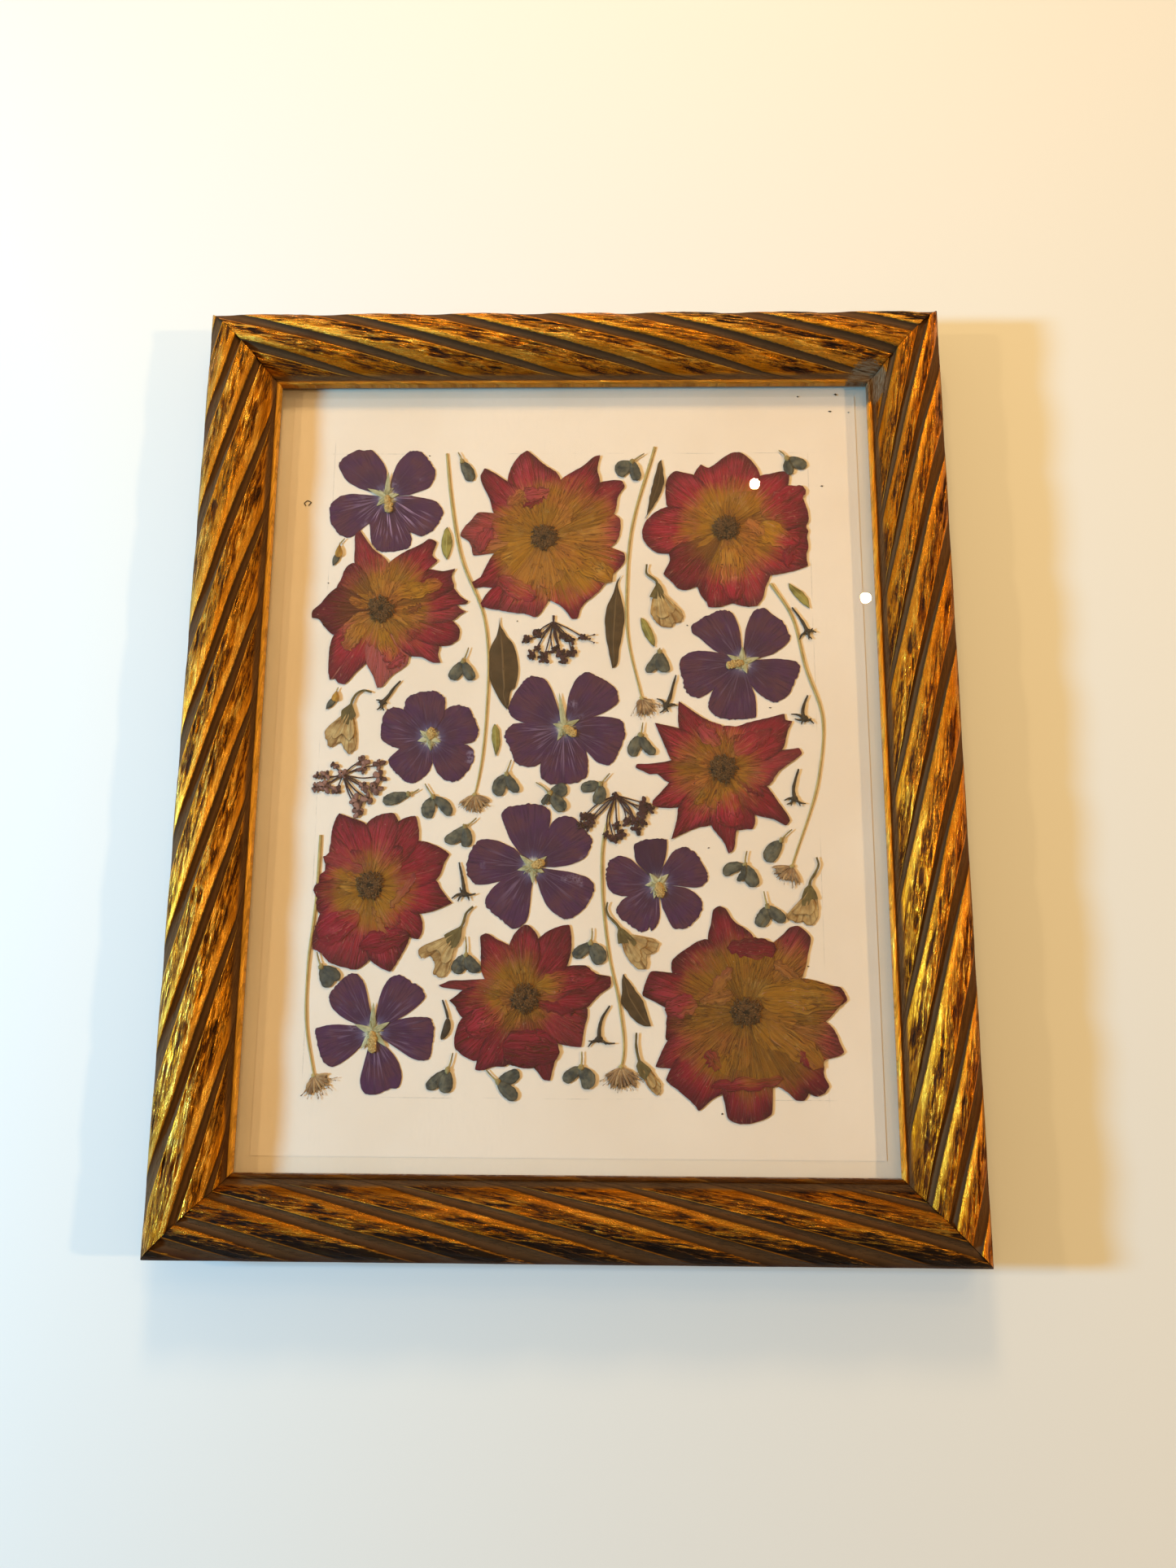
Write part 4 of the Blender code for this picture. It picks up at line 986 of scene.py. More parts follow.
# Each rose: its middle, how far out the ochre reaches as mean, swing and the direction of its
# farthest reach, with how light the flower is, then its petals clockwise from the upper left, each
# from notch to notch as (tone, points). Tone -1 is the darkest maroon and 1 a pale rose. Then folds
# that lie on top: middle, length, width, direction, tone and how much redder than the flower there.
ROSES = {
    "rose_left_upper": ((-85.5, 67.5), (19, 3, 60, 1), ((0, ((-13, 22), (-13.2, 30), (-13, 36),
        (-11.5, 37.8), (-5, 29), (2.5, 22))), (-.15, ((2.7, 21.9), (10, 27.5), (17, 31), (21, 33.5),
        (24, 32), (22.5, 25.5), (24.7, 23), (20.8, 19))), (DIM, ((20.8, 19), (27, 18), (33, 19.3),
        (31.5, 16), (32.5, 10))), (0, ((32.3, 10.2), (35, 6.5), (39.2, 3.5), (38, 2.4), (34, 2))), (0,
        ((34, 2), (36, 0), (38.4, -1), (36, -2.5), (32.3, -5.4))), (-.3, ((32.3, -5.4), (35.7, -9.5),
        (35.5, -13.5), (31.5, -16.8), (26.7, -17.4))), (0, ((26.7, -17.4), (26.5, -22), (27.5, -25),
        (25, -25.2), (19, -22.5), (13.5, -21.8))), (PALE, ((13.5, -22), (13, -25), (5, -32), (2, -36),
        (0, -36.8), (-2, -32), (-5.5, -25))), (0, ((-5.5, -25), (-9.5, -29), (-15.5, -35), (-17.5, -34.5),
        (-19.5, -32.3), (-21.5, -33), (-20.6, -12))), (DARK, ((-21, -12), (-25, -8.5), (-28.5, -4.5),
        (-31, -4), (-31, -1), (-27.5, 2.5), (-24.5, 6.5), (-20.5, 10))), (DARK, ((-20.5, 10), (-18.8, 14),
        (-17.5, 18.5), (-15, 21.5), (-13, 22)))), (((16, 9), 24, 7, 16, 0, -.9), ((14, 0), 9, 3, 22, DARK,
        .6), ((3.5, -17), 17, 7.5, -72, 0, -.5), ((8, -25), 10, 5, 40, PALE, .4), ((-12, -13), 14, 8, 60,
        .3, -1))),
    "rose_top_middle": ((-12.5, 101.5), (27, 5, -25, 1.02), ((0, ((-17.2, 28), (-10.5, 41.5),
        (-8.5, 42.8), (-5, 40), (0, 35.5), (6, 31), (7.2, 28.2))), (0, ((7.2, 28.2), (18, 35.5),
        (23.5, 40), (25.2, 40.3), (24, 33), (25.3, 27.2))), (0, ((25.8, 27.1), (35.8, 27.2), (36.5, 25),
        (34, 21), (31.5, 11.5))), (.3, ((31.5, 11.5), (34, 9.5), (32, -3), (30, -4.5))), (0, ((30, -4.5),
        (36.5, -8), (36.8, -10), (29, -20), (24, -26.5), (19.5, -30))), (0, ((19.5, -30), (17, -33.5),
        (15, -38.5), (13, -38.8), (11, -36), (7, -32), (2, -29))), (.2, ((2.5, -29.5), (-3.5, -37.8),
        (-7, -36.5), (-12, -36), (-20, -34.2))), (0, ((-20, -34.2), (-24, -34), (-28.5, -32.5),
        (-24, -25), (-21, -23.5))), (0, ((-22.5, -24), (-27, -23.5), (-31.5, -24), (-33.3, -22),
        (-29.5, -20.5), (-27, -15.5), (-22.5, -7.5))), (.5, ((-22.5, -7.5), (-32, -8.3), (-34, -2),
        (-38.2, 1), (-37, 4.5), (-33.5, 8.5), (-31, 12), (-23, 12))), (0, ((-23.2, 12), (-25, 18),
        (-29.5, 31), (-28, 33.8), (-17.2, 27.5)))), (((-4, 21.5), 13, 7, 8, PALE, 1), ((-5, 17), 11, 3,
        24, DIM, 1.4), ((-13, 19), 10, 6, 38, .5, -.6), ((-27, -1), 13, 7, 62, PALE, .7), ((-3, -14), 5.5,
        1.5, 2, DIM, 1.3), ((-12, -24), 20, 9, -30, .3, .5), ((20, -14), 26, 10, -32, 0, -1))),
    "rose_top_right": ((70, 105.5), (20.5, 2.5, -20, 1.08), ((0, ((-14.5, 25.5), (-10.8, 31.5),
        (-8.5, 30.2), (4, 37.5), (6, 37.8), (15, 29), (16, 26))), (0, ((16, 26), (21, 27), (27, 28),
        (29, 27), (28.5, 21))), (DIM, ((28.5, 21), (32, 18.5), (35.5, 14), (37, 3))), (-.2, ((37, 3),
        (36.3, 1), (37, -1), (36.5, -4), (37, -8), (36, -12.5), (36.5, -17.5))), (0, ((36.5, -17.5),
        (32, -19.5), (26, -21), (19.5, -22))), (0, ((19.5, -22), (17.5, -27), (15.5, -33.5), (13, -36.5),
        (10, -37))), (0, ((10, -37), (6, -36.5), (3, -35.5), (-3, -37), (-8.5, -37), (-9.5, -33))), (DARK,
        ((-9.5, -34.5), (-12, -31), (-13.5, -27.5), (-18, -29), (-22, -28.5), (-25, -25), (-28.3, -21.5),
        (-25.5, -14), (-26, -11.5))), (0, ((-26, -11.8), (-31, -11.5), (-38, -3.5), (-37.5, 1.5),
        (-30, 9.5), (-26.5, 10.8))), (0, ((-26.5, 11), (-27.3, 16), (-26, 25.5), (-22.5, 28.5),
        (-19, 27.5), (-14.5, 26.5)))), (((24, -3), 20, 10, -28, 0, -.5), ((28, -13), 11, 5, 78, DIM, .6),
        ((13.5, 1), 11, 6, -48, .4, .3), ((2, -21), 27, 11, -86, 0, -.3), ((26, 13), 24, 11, 34, -.2,
        .4))),
    "rose_right_middle": ((67, -5.5), (16, 3, 190, .97), ((0, ((-19, 18), (-19.2, 30.5), (-6, 21.5),
        (0, 19))), (0, ((0, 19), (6, 19.2), (12, 21), (20, 23), (27, 24.5), (27.5, 22), (30.2, 21.3),
        (28.5, 17.5), (25.5, 8.6))), (0, ((25.5, 8.6), (30, 9), (33, 9.3), (34, 7.5), (24, -1),
        (18.5, -7.5))), (-.2, ((18.5, -7.5), (23, -14), (27.8, -23), (26.5, -24.8), (22, -22.5),
        (13, -20))), (DIM, ((13, -20), (13, -24), (12, -26.3), (8, -26.5), (5, -27))), (0, ((5, -27),
        (3, -36), (1.5, -37), (0, -33), (-6, -24.3))), (0, ((-6, -24.5), (-12, -26), (-23, -31),
        (-20.5, -22), (-19.8, -17))), (0, ((-19.8, -17), (-31, -15.8), (-31, -15), (-27, -10),
        (-24, -6.5))), (-.3, ((-24, -6), (-30, -2), (-32, -2.5), (-34, -1.5), (-38.3, .8), (-38, 1.8),
        (-33, 2.2), (-22.5, 3.8))), (0, ((-22.5, 3.8), (-25, 9), (-29.7, 20.5), (-19, 18)))), (((-6, 15),
        13, 7, -48, PALE, .9), ((9, -7), 15, 2.6, -40, DARK, .4), ((13, 12), 20, 8, 34, .2, .5),
        ((2, -17), 18, 12, -80, 0, .5), ((-9, -11), 12, 4, -125, -.2, -.7))),
    "rose_left_lower": ((-85, -57), (15.5, 3, -100, .92), ((0, ((-17.8, 22), (-14.8, 31.5), (-11, 30),
        (-3, 26.5))), (0, ((-3, 26.5), (0, 29.5), (9, 31.5), (11, 28))), (0, ((11, 28), (15, 30),
        (18, 30.5), (20, 19.5))), (-.15, ((20, 19.5), (33.5, 13.5), (32.5, 12), (28, 2.5))), (0,
        ((28, 2.5), (31, -2), (35, -7), (21.5, -11.8))), (-.2, ((21.5, -11.8), (22.8, -15), (22.8, -19.5),
        (21, -22.5), (17.5, -21.5))), (0, ((17.5, -21.5), (15, -28), (10, -36), (1, -31))), (0, ((1, -31),
        (-5, -35.5), (-10, -34.5), (-16, -32.5), (-20, -28.5), (-23.5, -26.5))), (0, ((-23.5, -26.5),
        (-23.8, -22), (-22.5, -17), (-21, -12))), (-.3, ((-21, -12), (-23, -9), (-23, -5), (-24.5, -1.5),
        (-23.5, .5))), (0, ((-23.5, .5), (-22, 4.5), (-20, 6.5), (-19.8, 10.5), (-16, 11))), (0,
        ((-17, 11), (-18.5, 15), (-18, 19), (-17.8, 22)))), (((-12, 9), 19, 6, -22, .5, .5), ((7, -23),
        22, 9, 14, DIM, .8), ((5, -15), 15, 1.6, -58, PALE, -.4), ((14, -2), 18, 3, 55, PALE, .2),
        ((-13, -17), 20, 12, -150, 0, .6))),
    "rose_bottom_middle": ((-18, -104), (13.5, 5, 150, .82), ((0, ((-7, 22), (-2.5, 29.5), (0, 31),
        (3, 29), (5.5, 25))), (0, ((5.5, 25), (10, 28.5), (18.5, 30.8), (19.5, 25), (17.5, 13.5))), (-.2,
        ((17.5, 13.5), (27, 13), (28.5, 11), (36, 9), (36.3, 6), (31, 1.5), (26, -3.5))), (0, ((26, -3.5),
        (24.8, -14), (23.8, -19.5), (14, -18))), (DIM, ((14, -18), (12, -29), (10.8, -33.3), (8.5, -33),
        (6, -30), (4, -28))), (DIM, ((4, -28), (-2, -28), (-6, -26.8), (-8, -26))), (0, ((-7, -27.3),
        (-13, -28), (-19, -29.3), (-20, -29), (-19.5, -25.5))), (0, ((-19.5, -25.5), (-29, -20),
        (-29, -15), (-26, -8))), (0, ((-26, -8), (-29.5, -3), (-31.5, -1), (-29, 1), (-25, 4))), (0,
        ((-25, 4), (-31, 4.2), (-35, 4.5), (-36.2, 5.2), (-32.5, 7), (-25, 7.5), (-17.5, 8))), (0,
        ((-17, 8), (-19, 22), (-19.2, 26), (-17, 27), (-12, 24.5), (-7, 22)))), (((3, -20.5), 24, 15, -4,
        DIM, .9), ((18, 7), 27, 9, 8, 0, -.7), ((13, -4), 16, 5, -12, -.5, .9), ((-16, -8), 20, 12, 215,
        0, .3))),
    "rose_bottom_right": ((74.5, -109), (31, 4, -20, .79), ((0, ((-15.5, 30), (-14, 37), (-12.5, 43),
        (-10, 44), (-8.5, 43.5), (-5, 38.5), (4, 31))), (DIM, ((4, 31), (8, 30), (12, 28.7))), (0,
        ((12, 28.7), (16, 32), (20, 35.5), (22, 35.8), (27.8, 31), (26.5, 24), (23.5, 14))), (-.2,
        ((23.5, 14), (30, 13), (36, 11), (39.5, 10.5), (42.3, 5), (39, 2.5), (33, -3.5))), (.2,
        ((33, -3.5), (37, -8), (39, -13), (40.3, -16), (37, -18), (32, -19.5), (31.5, -20.5))), (-.3,
        ((31.5, -20.5), (31.8, -26), (33.5, -29.5), (31.5, -32.5), (28, -33.8), (25, -32.5))), (-.2,
        ((25, -32.5), (23, -35.5), (20.5, -35.5), (16, -32), (12, -30), (10.5, -30.5))), (-.15,
        ((10.5, -30.5), (9.5, -41), (-4, -44.8), (-8, -43), (-9.5, -37), (-10.5, -33))), (-.15,
        ((-10.5, -33), (-14, -35), (-20.3, -39.8), (-22.5, -37), (-27, -33), (-33.5, -27.5),
        (-31.5, -23))), (0, ((-31.5, -23), (-37.7, -22.5), (-33.5, -13), (-32.5, -11.5))), (DARK,
        ((-33.3, -11.5), (-33.4, -6), (-33, -2), (-32.7, 1))), (0, ((-32.7, 1), (-37, 3.5), (-43, 6.5),
        (-39.5, 16.5), (-30.5, 16))), (-.2, ((-30.5, 16), (-31, 20), (-24, 26.5), (-15.5, 30)))),
        (((3, 26.5), 21, 8.5, -2, DARK, 1.6), ((-10, 13), 14, 5, 48, PALE, 1), ((-12, 5.5), 15, 5, 14,
        PALE, .5), ((23, 6), 36, 14, -2, -.1, -.6), ((-14, -19.5), 9, 6, -52, DIM, 1.1), ((0, -28.5), 30,
        5, 5, -.3, .7), ((24, -18.5), 10, 5, -50, DIM, 1.1), ((-27, 2), 14, 9, 12, .3, .8), ((20, -13),
        30, 10, -38, .2, -.4), ((17, 17), 12, 5, -35, PALE, 0))),
}


def rose_shells(ochre, petals, folds, seed, thickness):
    """Petals as fans that each lie lower on one side and higher on the other, so they overlap all
    round like a pinwheel, a ring of short inner petals, folds on top, and the stamens.

    The value blush, 0 in the ochre middle and 1 in the crimson, is a half plus the distance from the
    middle less the ochre's reach in that direction, over BLUSH_WIDTH."""
    mean, swing, toward, depth = ochre
    rng = np.random.default_rng(seed)
    shells = []

    def lay(shell, redder=0.0):
        x, y = shell["co"][:, 0], shell["co"][:, 1]
        reach = mean + swing * np.cos(np.arctan2(y, x) - math.radians(toward))
        wobble = 3.0 * smooth_noise(x / 6 + 9, y / 6 + 4, seed + 2)
        blush = 0.5 + (np.hypot(x, y) + wobble - reach) / BLUSH_WIDTH + 0.5 * redder
        shell["values"].update(blush=blush[:, None], depth=np.full((len(x), 1), depth))
        shells.append(shell)

    for number, (tone, points) in enumerate(petals):
        p = np.asarray(points, float)
        outline = np.concatenate([turned(p[:1], 7) * 0.72, turned(p[:1], 3) * 0.9, p,
                                  turned(p[-1:], -3) * 0.9, turned(p[-1:], -7) * 0.72])
        lay(fan(outline, root_radius=2.0, rows=28, columns=60, low=ROSE_LEVEL + 0.06,
                high=ROSE_LEVEL + 0.36, ragged=0.2, frill=2.4, fold=0.1, droop=0.1,
                tone=tone + rng.uniform(-0.2, 0.18), seed=seed + 7 * number, thickness=thickness))
    for number in range(INNER_PETALS):
        heading = 360 / INNER_PETALS * (number + rng.uniform(-0.35, 0.35))
        length, wide = mean * 0.5 + rng.uniform(5, 13), rng.uniform(20, 34)
        bend = np.linspace(-1, 1, 11)
        lean = rng.uniform(-0.4, 0.4)
        size = length * (1 - 0.42 * np.abs(bend - lean) ** 1.5) * (1 + 0.07 * rng.uniform(-1, 1, 11))
        angle = np.radians(heading - wide * bend)
        outline = np.stack([size * np.cos(angle), size * np.sin(angle)], 1)
        lay(fan(outline, root_radius=2.0, rows=20, columns=42, low=ROSE_LEVEL + 0.3,
                high=ROSE_LEVEL + 0.46, ragged=0.4, frill=1.2, fold=0.09, droop=0.1,
                tone=rng.uniform(-0.3, 0.25), seed=seed + 90 + number, thickness=thickness),
            rng.uniform(-0.3, 0.1))
    for number, (middle, length, width, heading, tone, redder) in enumerate(folds):
        along = turned((0.5 * length, 0), heading)
        lay(blade(middle - along, middle + along, width, ROSE_LEVEL + 0.42, belly=rng.uniform(0.4, 0.6),
                  blunt=0.42, bend=rng.uniform(-0.8, 0.8), columns=14, rows=30, camber=0.08, fold=0.07,
                  ragged=1.0, seed=seed + 200 + number, thickness=thickness, tone=0.5 * tone), redder)
    level = ROSE_LEVEL + 0.55
    lay(lump((0, 0, level), (4.3, 4.3, 0.3), seed + 5, 0.35, rows=14, columns=40, tone=-1.0, finish=1))
    shells.append(threads(160, (0, 0), 6.8, level + 0.08, 0.3, seed + 6, 0.14, inner=0.6, curl=0.9))
    for grain in range(60):
        angle, away = rng.uniform(0, 2 * math.pi), 5.0 * math.sqrt(rng.uniform(0.02, 1.0))
        place = (away * math.cos(angle), away * math.sin(angle), level + 0.32)
        shells.append(lump(place, (0.44, 0.34, 0.2), seed + 300 + grain, 0.2, rows=5, columns=6,
                           tone=rng.uniform(-0.9, 1.2), finish=1))
    return shells


def rose_finish(c):
    """Dried rose petal: ochre in the middle, crimson outwards and maroon at the tips, the border
    between them drawn out along the veins. Veins and fine hairs fan out from the root, brown stains
    spread from the heart, and thin creases wander outwards."""
    f = Finish("rose_petal", 0.72, specular=0.1)
    across, along, distance = f.stored("petal")
    tone, margin, blush, depth = f.numbers("tone", "margin", "blush", "depth")
    place = f.place()
    veins = f.streaks(across * 9.0, along * 1.2, tone * 31.0, 3.0, 0.6, 0.3)
    hairs = f.streaks(across * 26.0, along * 2.6, tone * 17.0, 2.0, 0.5, 0.3)
    wander = f.streaks(across * 4.5, along * 1.1, tone * 23.0 + 5.0, 2.0, 0.5, 0.8)
    cloud = f.noise(place, 120.0, 4.0, 0.6)
    wash = f.noise(place, 52.0, 3.0, 0.6)
    skin = f.noise(place, 900.0, 3.0, 0.65)
    crease = (wander.band(0.5, 0.018).high(wander.band(0.58, 0.015)) * wash.rise(0.4, 0.54)).clip()
    gleam = wander.band(0.54, 0.012).high(wander.band(0.44, 0.012)) * wash.rise(0.58, 0.46)
    gleam = (gleam * cloud.rise(0.4, 0.55)).clip()
    no_vein, no_hair = 1 - veins, 1 - hairs
    ochre = f.coats(
        c.ochre,
        (linear(194, 146, 66), (cloud.rise(0.5, 0.72) * 0.5 + hairs.rise(0.55, 0.7) * 0.2).clip()),
        (shade(c.ochre, 0.5), (no_vein.rise(0.46, 0.7) * 0.7 + no_hair.rise(0.5, 0.68) * 0.25).clip()),
        (linear(166, 84, 44), wash.rise(0.5, 0.72) * 0.5))
    crimson = f.coats(
        c.crimson,
        (shade(c.crimson, 0.52), (no_vein.rise(0.45, 0.7) * 0.6 + cloud.rise(0.5, 0.7) * 0.4).clip()),
        (linear(190, 74, 88), (hairs.rise(0.5, 0.66) * 0.4 + wash.rise(0.5, 0.7) * 0.25).clip()))
    red = (blush + (veins - 0.5) * 1.1 + (cloud - 0.5) * 0.9).rise(0.0, 1.0)
    deep = ((blush - 1.0) * 0.55 + (cloud - 0.5) * 0.8).clip()
    deep = deep.high(margin.rise(2.2, 0.1) * blush.rise(0.4, 1.2) * 0.35)
    deep = deep.high(along.rise(0.78, 1.0) * blush.rise(0.45, 1.0) * (0.25 + cloud))
    stain = (distance + (veins - 0.5) * 26.0 + (hairs - 0.5) * 9.0).rise(9.0, 1.0)
    # Painted shade: a thin dark line along the petals' rims, in patches
    rim_shade = margin.rise(0.4, 0.1) * cloud.rise(0.42, 0.56) * 0.6
    colour = f.coats(
        ochre,
        (crimson, red),
        (linear(206, 116, 84), red.band(0.55, 0.45) * hairs.rise(0.5, 0.66) * 0.35),
        (c.maroon, (deep * 1.2).clip() * blush.rise(0.2, 0.8)),
        (shade(c.maroon, 0.62), (tone * -0.8).clip()),
        (linear(172, 92, 82), (tone * 0.65).clip()),
        (linear(84, 48, 14), stain * 0.7),
        (linear(78, 34, 18), (crease * 0.85).high(rim_shade)),
        (linear(206, 136, 112), gleam * 0.4),
        (linear(52, 26, 18), f.spots(place, 640.0, 0.16, 0.07, 75.0, 0.6, 0.66) * 0.8),
        (linear(214, 190, 160), f.spots(place, 330.0, 0.07, 0.035, 110.0, 0.52, 0.58) * 0.6))
    colour = f.add("ShaderNodeVectorMath", {"operation": "SCALE"}, {0: colour, "Scale": depth})
    relief = veins * 0.9 + hairs * 0.4 + cloud * 0.8 + wash * 0.9 + skin * 0.25
    return f.done(colour, 0.66 + skin * 0.2, relief - crease * 0.6 + gleam * 0.4, 0.8, 0.0007)


class FLOWERFRAME_OT_roses(bpy.types.Operator):
    """Presses the seven roses from their petals, folds and stamens"""
    bl_idname = "flower_frame.roses"
    bl_label = "Roses"

    def execute(self, context):
        c = context.scene.flower_frame_flowers
        finishes = [rose_finish(c), dried_finish("rose_stamens", linear(120, 80, 46), linear(26, 15, 8),
                                                 linear(70, 44, 20), mottle_scale=1500.0)]
        for number, (name, (centre, ochre, petals, folds)) in enumerate(ROSES.items()):
            shells = rose_shells(ochre, petals, folds, 100 * (number + 1), c.petal_thickness / MM)
            press(name, centre, shells, finishes)
        return {"FINISHED"}


# ---- Mallows ----

